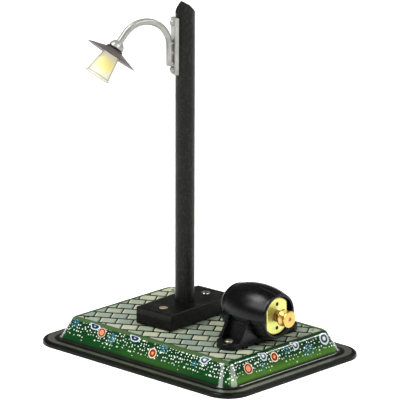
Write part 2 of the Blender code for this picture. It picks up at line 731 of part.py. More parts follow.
def lug_outline():
    """The foot plate, with a full round at each end."""
    radius = (SADDLE_FRONT - SADDLE_REAR) / 2
    middle = (SADDLE_FRONT + SADDLE_REAR) / 2
    reach = LUG_HALF_LENGTH - radius
    return arc((middle, reach), radius, 0, 180, 12) + arc((middle, -reach), radius, 180, 360, 12)


def make_housing(dynamo):
    """The lower housing with its saddle and lugs, and the upper cover, split at the seam."""
    below = 40 * MM
    low, high = -below, below
    seam = SEAM_Z - AXIS_Z
    cavity = turned("cavity_cutter", cavity_profile(), 32, parent=dynamo, place=along_x())
    cover = turned(
        "dynamo_upper_cover", barrel_profile(), 36, finish="black_plastic", parent=dynamo,
        place=along_x(),
    )
    boolean(cover, cavity)
    under = box("under_seam_cutter", (0, low, low), (80 * MM, high, seam + GAP / 2), parent=dynamo)
    boolean(cover, under)

    lower = turned(
        "dynamo_lower_housing", barrel_profile(), 36, finish="black_plastic", parent=dynamo,
        place=along_x(),
    )
    walls = (
        ("rear_wall_tool", SADDLE_REAR, SADDLE_REAR + SADDLE_WALL),
        ("front_wall_tool", SADDLE_FRONT - SADDLE_WALL, SADDLE_FRONT),
    )
    for name, rear, front in walls:
        wall = saddle_slab(name, SADDLE_FOOT_HALF, SADDLE_TOP_HALF, rear, front, dynamo)
        boolean(lower, wall, "UNION")
    core_ends = SADDLE_REAR + SADDLE_WALL / 2, SADDLE_FRONT - SADDLE_WALL / 2
    core = saddle_slab("core_tool", CORE_FOOT_HALF, CORE_TOP_HALF, *core_ends, dynamo)
    boolean(lower, core, "UNION")
    foot = TRAY_HEIGHT + GAP - AXIS_Z
    lugs = outline("lug_tool", [lug_outline()], foot, foot + LUG_THICKNESS, parent=dynamo)
    boolean(lower, lugs, "UNION")
    boolean(lower, cavity)
    over = box("over_seam_cutter", (0, low, seam - GAP / 2), (80 * MM, high, high), parent=dynamo)
    boolean(lower, over)
    for x, y in dynamo_screw_places():
        hole = rod("lug_hole_cutter", (x, y, 0), (x, y, AXIS_Z - 4 * MM), SCREW_HOLE, 16)
        boolean(lower, hole)
    lead_x, lead_y = HOUSING_MIDDLE, CENTRE_Y - LEAD_SIDE
    lead = rod("saddle_lead_cutter", (lead_x, lead_y, 0), (lead_x, lead_y, AXIS_Z), LEAD_BORE, 16)
    boolean(lower, lead)


# ---------------------------------------------------------------- motor


def flat_sided(radius, flat, steps=10):
    """A round outline with two flats, as loops of (x, y): x up, y across."""
    edge = math.degrees(math.asin(flat / radius))
    upper = arc((0, 0), radius, -edge, edge, steps)
    lower = arc((0, 0), radius, 180 - edge, 180 + edge, steps)
    return upper + lower


def circle(radius, steps=20):
    """A closed round outline."""
    return arc((0, 0), radius, 0, 360, steps)[:-1]


def make_motor_stator(dynamo):
    """The can, its end cap, magnets, bushes, brushes and terminals."""
    can = outline(
        "motor_can", [flat_sided(CAN_RADIUS, CAN_FLAT)], CAN_REAR, CAN_FRONT,
        finish="yellow_zinc", parent=dynamo, place=along_x(),
    )
    inner = flat_sided(CAN_RADIUS - CAN_SHEET, CAN_FLAT - CAN_SHEET)
    inside = outline(
        "can_inside_cutter", [inner], CAN_REAR - 2 * MM, CAN_FRONT - CAN_SHEET,
        parent=dynamo, place=along_x(),
    )
    boolean(can, inside)
    holes = [("can_bush_cutter", 0.0, BUSH_RADIUS + GAP)]
    holes += [("can_face_cutter", side * FACE_HOLE_OFFSET, FACE_HOLE_RADIUS) for side in (-1, 1)]
    for name, z, radius in holes:
        ends = (CAN_FRONT - 2 * MM, 0, z), (CAN_FRONT + 2 * MM, 0, z)
        boolean(can, rod(name, *ends, radius, 18, parent=dynamo))

    cap_outline = flat_sided(CAN_RADIUS - CAN_SHEET - GAP, CAN_FLAT - CAN_SHEET - GAP)
    cap = outline(
        "motor_end_cap", [cap_outline], CAN_REAR, CAN_REAR + 2 * MM,
        finish="ivory_plastic", parent=dynamo, place=along_x(),
    )
    cap_hole = (CAN_REAR - 2 * MM, 0, 0), (CAN_REAR + 4 * MM, 0, 0)
    boolean(cap, rod("cap_bush_cutter", *cap_hole, BUSH_RADIUS + GAP, 20, parent=dynamo))

    front = [
        (SHAFT_BORE, CAN_FRONT + 1.4 * MM),
        (BUSH_FLANGE - 0.3 * MM, CAN_FRONT + 1.4 * MM),
        (BUSH_FLANGE, CAN_FRONT + 1.1 * MM),
        (BUSH_FLANGE, CAN_FRONT + GAP),
        (BUSH_RADIUS, CAN_FRONT + GAP),
        (BUSH_RADIUS, CAN_FRONT - 1.8 * MM),
        (SHAFT_BORE, CAN_FRONT - 1.8 * MM),
    ]
    turned("front_bush", front, 20, True, finish="brass", parent=dynamo, place=along_x())
    rear = ring_profile(SHAFT_BORE, BUSH_RADIUS, CAN_REAR - 0.3 * MM, CAN_REAR + 2.3 * MM)
    turned("rear_bush", rear, 16, True, finish="brass", parent=dynamo, place=along_x())

    for label, side in (("upper", 1), ("lower", -1)):
        make_magnet("magnet_" + label, side, dynamo)
        make_brush_and_terminal(label, side, cap, dynamo)


def ring_profile(inner, outer, rear, front):
    """A plain ring's closed section."""
    return [(inner, front), (outer, front), (outer, rear), (inner, rear)]


def make_magnet(name, side, dynamo):
    """One arc magnet against the can's round side."""
    outer = CAN_RADIUS - CAN_SHEET - GAP
    half = math.degrees(MAGNET_HALF_ANGLE)
    middle = 180 if side > 0 else 0
    loop = arc((0, 0), outer, middle - half, middle + half, 8)
    loop += arc((0, 0), MAGNET_INNER, middle + half, middle - half, 8)
    outline(
        name, [loop], CORE_REAR - 0.5 * MM, CORE_FRONT + 0.5 * MM,
        finish="magnet_ferrite", parent=dynamo, place=along_x(),
    )


def make_brush_and_terminal(label, side, cap, dynamo):
    """One brush on the commutator, and its terminal tag through the end cap."""
    low, high = sorted((side * 2.05 * MM, side * 4.3 * MM))
    box(
        "brush_" + label, (24.1 * MM, -0.6 * MM, low), (25.0 * MM, 0.6 * MM, high),
        finish="winding_copper", parent=dynamo,
    )
    middle = side * TERMINAL_OFFSET
    half_width, half_thick = 0.9 * MM, 0.2 * MM
    tag_low = (CAN_REAR - 1.7 * MM, -half_width, middle - half_thick)
    tag_high = (23.8 * MM, half_width, middle + half_thick)
    box("terminal_" + label, tag_low, tag_high, finish="brass", parent=dynamo)
    slot_low = (CAN_REAR - 4 * MM, -half_width - GAP, middle - half_thick - GAP)
    slot_high = (CAN_REAR + 4 * MM, half_width + GAP, middle + half_thick + GAP)
    boolean(cap, box("terminal_slot_cutter", slot_low, slot_high, parent=dynamo))


def rotor_outline():
    """Three poles with wide shoes on a hub, as one closed loop."""
    hub = 1.9 * MM
    shoe = CORE_RADIUS - 0.8 * MM
    half_shoe = 46
    loop = []
    for pole in range(POLE_COUNT):
        heading = 360 / POLE_COUNT * pole
        neck_hub = math.degrees(math.asin(POLE_NECK / hub))
        neck_shoe = math.degrees(math.asin(POLE_NECK / shoe))
        loop += arc((0, 0), hub, heading - 60, heading - neck_hub, 2)
        loop += arc((0, 0), shoe, heading - neck_shoe, heading - half_shoe, 2)
        loop += arc((0, 0), CORE_RADIUS, heading - half_shoe, heading + half_shoe, 8)
        loop += arc((0, 0), shoe, heading + half_shoe, heading + neck_shoe, 2)
        loop += arc((0, 0), hub, heading + neck_hub, heading + 60, 2)[:-1]
    return loop


def make_rotor(rotor):
    """Shaft, three-pole core, windings, commutator and the belt pulley."""
    rod(
        "rotor_shaft", (SHAFT_REAR, 0, 0), (SHAFT_FRONT, 0, 0), SHAFT_RADIUS, 20,
        finish="motor_steel", parent=rotor,
    )
    outline(
        "rotor_core", [rotor_outline(), circle(SHAFT_BORE)], CORE_REAR, CORE_FRONT,
        finish="motor_steel", parent=rotor, place=along_x(),
    )
    for pole in range(POLE_COUNT):
        make_winding(pole, rotor)
    ring = ring_profile(SHAFT_BORE, 1.7 * MM, 23.9 * MM, 25.3 * MM)
    turned("commutator", ring, 16, True, finish="winding_copper", parent=rotor, place=along_x())
    make_pulley(rotor)


def make_winding(pole, rotor):
    """One coil round a pole's neck."""
    turn = along_x() @ Matrix.Rotation(math.radians(360 / POLE_COUNT * pole), 4, "Z")
    half = POLE_NECK + GAP + 0.55 * MM
    end = GAP + 0.55 * MM
    coil = box(
        f"winding_{pole + 1}", (2.25 * MM, -half, CORE_REAR - end), (3.4 * MM, half, CORE_FRONT + end),
        finish="winding_copper", parent=rotor, place=turn,
    )
    window_low = (1 * MM, -POLE_NECK - GAP, CORE_REAR - GAP)
    window_high = (5 * MM, POLE_NECK + GAP, CORE_FRONT + GAP)
    boolean(coil, box(f"winding_{pole + 1}_cutter", window_low, window_high, parent=rotor, place=turn))


def make_pulley(rotor):
    """The brass pulley with its V groove."""
    groove_front = PULLEY_FRONT - PULLEY_FLANGE
    groove_rear = PULLEY_REAR + PULLEY_FLANGE
    middle = (groove_front + groove_rear) / 2
    edge = 0.15 * MM
    profile = [
        (SHAFT_BORE, PULLEY_FRONT),
        (PULLEY_RADIUS - edge, PULLEY_FRONT),
        (PULLEY_RADIUS, PULLEY_FRONT - edge),
        (PULLEY_RADIUS, groove_front),
        (PULLEY_ROOT, middle + 0.4 * MM),
        (PULLEY_ROOT, middle - 0.4 * MM),
        (PULLEY_RADIUS, groove_rear),
        (PULLEY_RADIUS, PULLEY_REAR + edge),
        (PULLEY_RADIUS - edge, PULLEY_REAR),
        (SHAFT_BORE, PULLEY_REAR),
    ]
    turned("pulley", profile, 28, True, finish="brass", parent=rotor, place=along_x())


# ---------------------------------------------------------------- leads


def make_leads(swivel):
    """The lamp's lead: dynamo to mast under the tray, then up inside the mast and neck."""
    lead_y = CENTRE_Y - LEAD_SIDE
    tag_x = CAN_REAR - 1.2 * MM
    tag_z = AXIS_Z - TERMINAL_OFFSET - 0.2 * MM - GAP
    side_z = AXIS_Z - 2.2 * MM
    under_z = TRAY_HEIGHT - TRAY_SHEET - 1.3 * MM
    lower = [
        (tag_x, CENTRE_Y, tag_z),
        (tag_x, CENTRE_Y, tag_z - 1.6 * MM),
        (tag_x - 0.2 * MM, lead_y + 1.2 * MM, side_z),
        (tag_x + 2.2 * MM, lead_y, side_z),
        (HOUSING_MIDDLE, lead_y, side_z),
        (HOUSING_MIDDLE, lead_y, under_z),
        (MAST_X, CENTRE_Y, under_z),
        (MAST_X, CENTRE_Y, TRAY_HEIGHT + SOCKET_FLOOR),
    ]
    tube("lamp_lead_lower", rounded_path(lower, 0.9 * MM, 3), LEAD_RADIUS, sides=2,
         finish="lead_insulation")
    foot = TRAY_HEIGHT + SOCKET_FLOOR + 2 * GAP
    rise = [(0, 0, foot), (0, 0, LEAD_EXIT_Z), (NECK_U, 0, LEAD_EXIT_Z), (NECK_U, 0, ARCH_Z)]
    upper = rounded_path(rise, 0.6 * MM, 3)[:-1]
    upper += [Vector(point) for point in neck_path(ARCH_Z, 1.1 * MM)[1:]]
    tube("lamp_lead_upper", upper, LEAD_RADIUS, sides=2, finish="lead_insulation", parent=swivel)


def main():
    """Build the whole lamp."""
    global PARTS, CUTTERS
    clear_scene()
    PARTS = make_collection("dynamo_street_lamp")
    CUTTERS = make_collection("cutters")
    make_finishes()
    swivel_place = Matrix.Translation((MAST_X, CENTRE_Y, 0)) @ Matrix.Rotation(ARM_HEADING, 4, "Z")
    swivel = add_frame("mast_swivel", swivel_place)
    dynamo = add_frame("dynamo_axis", Matrix.Translation((0, CENTRE_Y, AXIS_Z)))
    rotor = add_frame("rotor_axis", Matrix.Identity(4), dynamo)
    make_tray()
    make_foot_block()
    for label, place in zip(("near", "far"), block_screw_places()):
        make_screw("foot_" + label, place, BLOCK_TOP)
    make_mast(swivel)
    make_bracket(swivel)
    make_neck(swivel)
    make_lamp(swivel)
    make_housing(dynamo)
    for label, place in zip(("near", "far"), dynamo_screw_places()):
        make_screw("dynamo_" + label, place, TRAY_HEIGHT + GAP + LUG_THICKNESS)
    make_motor_stator(dynamo)
    make_rotor(rotor)
    make_leads(swivel)


main()
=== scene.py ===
"""Fine meshes and finishes for the toy dynamo street lamp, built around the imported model."""

import logging
import math
from dataclasses import dataclass, field
from enum import Enum
from typing import Iterable, Sequence

import bmesh
import bpy
from mathutils import Matrix, Vector


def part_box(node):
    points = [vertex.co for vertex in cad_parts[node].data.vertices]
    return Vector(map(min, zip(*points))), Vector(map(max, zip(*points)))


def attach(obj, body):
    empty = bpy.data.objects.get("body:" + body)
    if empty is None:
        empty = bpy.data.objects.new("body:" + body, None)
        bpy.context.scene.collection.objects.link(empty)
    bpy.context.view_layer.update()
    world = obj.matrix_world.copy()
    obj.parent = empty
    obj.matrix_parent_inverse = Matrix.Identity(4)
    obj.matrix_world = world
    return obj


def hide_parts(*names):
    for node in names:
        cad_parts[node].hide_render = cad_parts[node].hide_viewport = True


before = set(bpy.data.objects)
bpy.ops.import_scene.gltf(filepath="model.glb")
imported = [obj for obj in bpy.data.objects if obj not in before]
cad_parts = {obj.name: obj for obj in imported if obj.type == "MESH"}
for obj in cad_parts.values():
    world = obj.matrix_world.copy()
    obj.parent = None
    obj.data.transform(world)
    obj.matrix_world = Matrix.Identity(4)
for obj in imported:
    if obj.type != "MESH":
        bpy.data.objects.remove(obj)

LOG = logging.getLogger("street_lamp")
MM = 0.001
HAIR = 0.02  # millimetres: heights closer than this are one height
WHITE = (1.0, 1.0, 1.0)
Colour = tuple[float, float, float]
Finishes = dict[str, bpy.types.Material]
Mesh = bmesh.types.BMesh
Profile = Sequence[tuple[float, float]]
Ring = Sequence[Sequence[float]]


class Body(Enum):
    """The three moving bodies of the lamp."""

    STAND = "stand"
    MAST = "mast"
    ROTOR = "rotor"


def tone(red: int, green: int, blue: int) -> Colour:
    """A paint chart's 0 to 255 colour as linear light."""
    parts = [value / 255 for value in (red, green, blue)]
    return tuple(p / 12.92 if p <= 0.04045 else ((p + 0.055) / 1.055) ** 2.4 for p in parts)


# ---------------------------------------------------------------- shader kit


class Signal:
    """A shader socket's output, with arithmetic that adds Math nodes."""

    def __init__(self, sheet: "Sheet", socket: bpy.types.NodeSocket) -> None:
        """Keep the sheet and the socket."""
        self.sheet = sheet
        self.socket = socket

    def __add__(self, other: "Signal | float") -> "Signal":
        """Sum."""
        return self.sheet.math("ADD", self, other)

    def __sub__(self, other: "Signal | float") -> "Signal":
        """Difference."""
        return self.sheet.math("SUBTRACT", self, other)

    def __rsub__(self, other: float) -> "Signal":
        """Difference from a number."""
        return self.sheet.math("SUBTRACT", other, self)

    def __mul__(self, other: "Signal | float") -> "Signal":
        """Product."""
        return self.sheet.math("MULTIPLY", self, other)

    def __truediv__(self, other: "Signal | float") -> "Signal":
        """Quotient."""
        return self.sheet.math("DIVIDE", self, other)

    def __gt__(self, other: "Signal | float") -> "Signal":
        """1 where this value is greater."""
        return self.sheet.math("GREATER_THAN", self, other)

    def __lt__(self, other: "Signal | float") -> "Signal":
        """1 where this value is less."""
        return self.sheet.math("LESS_THAN", self, other)

    def __abs__(self) -> "Signal":
        """Size without sign."""
        return self.sheet.math("ABSOLUTE", self)

    def __floor__(self) -> "Signal":
        """Whole part."""
        return self.sheet.math("FLOOR", self)

    __radd__ = __add__
    __rmul__ = __mul__

    def least(self, other: "Signal | float") -> "Signal":
        """The lesser of two."""
        return self.sheet.math("MINIMUM", self, other)

    def most(self, other: "Signal | float") -> "Signal":
        """The greater of two."""
        return self.sheet.math("MAXIMUM", self, other)

    def loose(self) -> "Signal":
        """What is left above the whole part."""
        return self.sheet.math("FRACT", self)

    def sign(self) -> "Signal":
        """-1, 0 or 1."""
        return self.sheet.math("SIGN", self)

    def ramp(self, low: float, high: float) -> "Signal":
        """0 at low to 1 at high, eased at both ends.

        Args:
            low: Where the result is 0.
            high: Where the result is 1. It may be below low.

        Returns:
            The eased value.
        """
        if high < low:
            return 1 - self.ramp(high, low)
        settings = {"interpolation_type": "SMOOTHSTEP"}
        sockets = {"Value": self, "From Min": low, "From Max": high}
        return self.sheet.signal(self.sheet.node("ShaderNodeMapRange", settings, sockets), 0)


class Sheet:
    """The node tree of one finish."""

    def __init__(self, name: str, holder: bpy.types.World | None = None) -> None:
        """Start an empty material, or empty a world's tree.

        Args:
            name: The new material's name.
            holder: A world to work on, if it isn't a material.
        """
        self.material = holder or bpy.data.materials.new(name)
        self.material.use_nodes = True
        self.tree = self.material.node_tree
        self.tree.nodes.clear()

    def node(
        self, kind: str, settings: dict | None = None, sockets: dict | None = None
    ) -> bpy.types.Node:
        """Add a node.

        Args:
            kind: The node's type.
            settings: Its own settings, which are set first.
            sockets: Values or signals by socket name or number.

        Returns:
            The node.
        """
        made = self.tree.nodes.new(kind)
        for key, value in (settings or {}).items():
            setattr(made, key, value)
        for key, value in (sockets or {}).items():
            socket = made.inputs[key]
            if isinstance(value, Signal):
                self.tree.links.new(value.socket, socket)
            elif isinstance(value, tuple) and len(socket.default_value) > len(value):
                socket.default_value = (*value, 1.0)
            else:
                socket.default_value = value
        return made

    def signal(self, node: bpy.types.Node, output: int | str) -> Signal:
        """One output of a node."""
        return Signal(self, node.outputs[output])

    def math(self, operation: str, *values: Signal | float) -> Signal:
        """One Math node."""
        sockets = dict(enumerate(values))
        return self.signal(self.node("ShaderNodeMath", {"operation": operation}, sockets), 0)

    def vector_math(self, operation: str, *values: Signal | tuple, **named: Signal | float) -> Signal:
        """One Vector Math node.

        Args:
            operation: What it does.
            values: Its inputs in order.
            named: Its inputs that have names, such as Scale.

        Returns:
            Its value where the operation gives one, and otherwise its vector.
        """
        sockets = {**dict(enumerate(values)), **named}
        node = self.node("ShaderNodeVectorMath", {"operation": operation}, sockets)
        gives_value = operation in ("LENGTH", "DISTANCE", "DOT_PRODUCT")
        return self.signal(node, "Value" if gives_value else "Vector")

    def place(self) -> Signal:
        """Where a point of the surface is on the lamp at rest, in millimetres."""
        coordinates = self.signal(self.node("ShaderNodeTexCoord"), "Object")
        return self.vector_math("SCALE", coordinates, Scale=1 / MM)

    def split(self, vector: Signal) -> list[Signal]:
        """A vector's three values."""
        node = self.node("ShaderNodeSeparateXYZ", None, {0: vector})
        return [self.signal(node, k) for k in range(3)]

    def join(self, *values: Signal | float) -> Signal:
        """A vector from up to three values."""
        return self.signal(self.node("ShaderNodeCombineXYZ", None, dict(enumerate(values))), 0)

    def turned_about(self, vector: Signal, centre: tuple, angles: tuple) -> Signal:
        """A place as it reads from a turned frame."""
        settings = {"rotation_type": "EULER_XYZ", "invert": True}
        sockets = {"Vector": vector, "Center": centre, "Rotation": angles}
        return self.signal(self.node("ShaderNodeVectorRotate", settings, sockets), 0)

    def mix(self, factor: Signal | float, low: Signal | tuple, high: Signal | tuple) -> Signal:
        """Blend two colours."""
        sockets = {0: factor, 6: low, 7: high}
        return self.signal(self.node("ShaderNodeMix", {"data_type": "RGBA"}, sockets), 2)

    def shaded(self, colour: Signal | tuple, amount: Signal | float) -> Signal:
        """Multiply a colour by a value."""
        grey = self.join(amount, amount, amount) if isinstance(amount, Signal) else (amount,) * 3
        settings = {"data_type": "RGBA", "blend_type": "MULTIPLY"}
        return self.signal(self.node("ShaderNodeMix", settings, {0: 1.0, 6: colour, 7: grey}), 2)

    def stretched(self, vector: Signal, by: tuple) -> Signal:
        """A vector with each value multiplied."""
        return self.vector_math("MULTIPLY", vector, by)

    def noise(self, vector: Signal, scale: float, detail: float = 2.0, rough: float = 0.5) -> Signal:
        """Cloudy noise from 0 to 1."""
        sockets = {"Vector": vector, "Scale": scale, "Detail": detail, "Roughness": rough}
        return self.signal(self.node("ShaderNodeTexNoise", None, sockets), 0)

    def cells(self, vector: Signal, pitch: float, loose: float = 0.75) -> tuple[Signal, list[Signal]]:
        """Scattered flat cells: distance to the middle, and three random values.

        Args:
            vector: Where the surface is, as a flat place.
            pitch: The mean distance between middles.
            loose: How far from a square grid they stray, from 0 to 1.

        Returns:
            The distance in the vector's own unit, and the values.
        """
        settings = {"voronoi_dimensions": "2D", "feature": "F1"}
        sockets = {"Vector": vector, "Scale": 1 / pitch, "Randomness": loose}
        node = self.node("ShaderNodeTexVoronoi", settings, sockets)
        colour = self.node("ShaderNodeSeparateColor", None, {0: self.signal(node, "Color")})
        return self.signal(node, "Distance") * pitch, [self.signal(colour, k) for k in range(3)]

    def random(self, vector: Signal) -> list[Signal]:
        """Three random values that are the same wherever the vector is the same."""
        node = self.node("ShaderNodeTexWhiteNoise", {"noise_dimensions": "3D"}, {"Vector": vector})
        colour = self.node("ShaderNodeSeparateColor", None, {0: self.signal(node, "Color")})
        return [self.signal(colour, k) for k in range(3)]

    def bump(self, height: Signal, depth: float, strength: float = 1.0) -> Signal:
        """Relief from a height of 0 to 1 and a depth in millimetres."""
        sockets = {"Height": height, "Distance": depth * MM, "Strength": strength}
        return self.signal(self.node("ShaderNodeBump", None, sockets), 0)

    def finish(self, **sockets: Signal | float | tuple) -> bpy.types.Material:
        """Close the sheet with a Principled shader.

        Args:
            sockets: The shader's sockets, with underscores for spaces.

        Returns:
            The material.
        """
        named = {key.replace("_", " "): value for key, value in sockets.items()}
        shader = self.node("ShaderNodeBsdfPrincipled", None, named)
        output = self.node("ShaderNodeOutputMaterial")
        self.tree.links.new(shader.outputs[0], output.inputs["Surface"])
        return self.material


# ---------------------------------------------------------------- finishes


@dataclass(frozen=True)
class Metal:
    """A metal, with turning marks or brushing along its own axis, and slight stains."""

    name: str
    colour: Colour
    stain: Colour
    roughness: float = 0.25
    spread: float = 0.12
    metallic: float = 1.0
    marks: tuple[float, float, float] = (0.4, 0.4, 6.0)
    mark_depth: float = 0.01
    stain_size: float = 2.5
    stain_amount: float = 0.4

    def build(self) -> bpy.types.Material:
        """Make the material."""
        sheet = Sheet(self.name)
        place = sheet.place()
        marks = sheet.noise(sheet.stretched(place, self.marks), 1.0, 3.0, 0.6)
        clouds = sheet.noise(place, 1 / self.stain_size, 3.0, 0.6)
        colour = sheet.mix(clouds.ramp(0.45, 0.75) * self.stain_amount, self.colour, self.stain)
        roughness = self.roughness + (marks - 0.5) * self.spread + (clouds - 0.5) * self.spread
        return sheet.finish(
            Base_Color=sheet.shaded(colour, 0.88 + marks * 0.24),
            Metallic=self.metallic,
            Roughness=roughness,
            Normal=sheet.bump(marks, self.mark_depth),
        )


@dataclass(frozen=True)
class Coating:
    """Paint, enamel or moulded plastic: one colour with soft clouds, fine grain and small specks."""

    name: str
    colour: Colour
    second: Colour
    roughness: float = 0.4
    spread: float = 0.1
    metallic: float = 0.0
    cloud_size: float = 6.0
    grain_size: float = 0.35
    grain_depth: float = 0.02
    speck: Colour = (0.3, 0.3, 0.3)
    speck_amount: float = 0.0
    coat: float = 0.0
    shine: float = 0.5

    def build(self) -> bpy.types.Material:
        """Make the material."""
        sheet = Sheet(self.name)
        place = sheet.place()
        clouds = sheet.noise(place, 1 / self.cloud_size, 4.0, 0.6)
        grain = sheet.noise(place, 1 / self.grain_size, 2.0, 0.5)
        colour = sheet.mix(clouds.ramp(0.35, 0.7), self.colour, self.second)
        if self.speck_amount:
            specks = sheet.noise(place, 2.2 / self.grain_size, 1.0).ramp(0.72, 0.8)
            colour = sheet.mix(specks * self.speck_amount, colour, self.speck)
        return sheet.finish(
            Base_Color=colour,
            Metallic=self.metallic,
            Roughness=self.roughness + (clouds - 0.5) * self.spread + (grain - 0.5) * self.spread,
            Specular_IOR_Level=self.shine,
            Coat_Weight=self.coat,
            Coat_Roughness=0.12,
            Normal=sheet.bump(grain * 0.7 + clouds * 0.3, self.grain_depth),
        )


@dataclass(frozen=True)
class PaintedWood:
    """Black paint on turned or sawn wood, with the grain just showing through."""

    name: str
    centre: tuple[float, float, float]
    heading: float = 0.0
    along: tuple[float, float, float] = (1.6, 1.6, 0.06)
    black: Colour = (0.002, 0.002, 0.002)
    bare: Colour = (0.0185, 0.0185, 0.0135)
    shine: float = 0.2
    coat: float = 0.0
    relief: float = 0.22

    def build(self) -> bpy.types.Material:
        """Make the material."""
        sheet = Sheet(self.name)
        place = sheet.turned_about(sheet.place(), self.centre, (0.0, 0.0, self.heading))
        fibre = sheet.noise(sheet.stretched(place, self.along), 1.6, 4.0, 0.65)
        pores = sheet.noise(sheet.stretched(place, self.along), 6.0, 2.0, 0.5)
        clouds = sheet.noise(place, 0.11, 3.0, 0.6)
        streaks = fibre.ramp(0.4, 0.72)
        pits = sheet.noise(sheet.stretched(place, (1.0, 1.0, 0.7)), 0.95, 3.0, 0.7)
        relief = fibre * 0.4 + pores * 0.2 + pits * 0.8
        specks = pits.ramp(0.5, 0.62)
        return sheet.finish(
            Base_Color=sheet.mix(streaks * 0.3 + specks * 0.65, self.black, self.bare),
            Roughness=0.3 + streaks * 0.1 + clouds.ramp(0.4, 0.7) * 0.1 + pits * 0.1,
            Specular_IOR_Level=self.shine,
            Coat_Weight=self.coat,
            Coat_Roughness=0.14,
            Normal=sheet.bump(relief, self.relief, 0.9),
        )


class Motif(Enum):
    """The kinds of figure in the tray's printed border."""

    SUN = "sun"
    BLOSSOM = "blossom"
    DROP = "drop"
    SEED = "seed"
    SPRAY = "spray"


@dataclass(frozen=True)
class Figure:
    """One printed figure: its kind, place along a side and up it, size, turn and stretch."""

    kind: Motif
    along: float
    height: float
    radius: float
    turn: float = 0.0
    wide: float = 1.0


Bands = tuple[tuple[float, Colour], ...]
BANDS: dict[Motif, Bands] = {
    Motif.SUN: (
        (1.0, tone(242, 224, 204)), (0.78, tone(116, 22, 6)), (0.46, tone(222, 88, 30)),
        (0.24, tone(252, 182, 96)),
    ),
    Motif.BLOSSOM: ((1.0, tone(240, 210, 190)), (0.86, tone(118, 22, 8)), (0.58, tone(240, 150, 112))),
    Motif.DROP: (
        (1.0, tone(206, 220, 228)), (0.72, tone(40, 54, 100)), (0.42, tone(140, 152, 148)),
        (0.28, tone(238, 234, 204)),
    ),
    Motif.SEED: ((1.0, tone(214, 226, 238)), (0.74, tone(28, 42, 86)), (0.18, tone(190, 200, 190))),
}


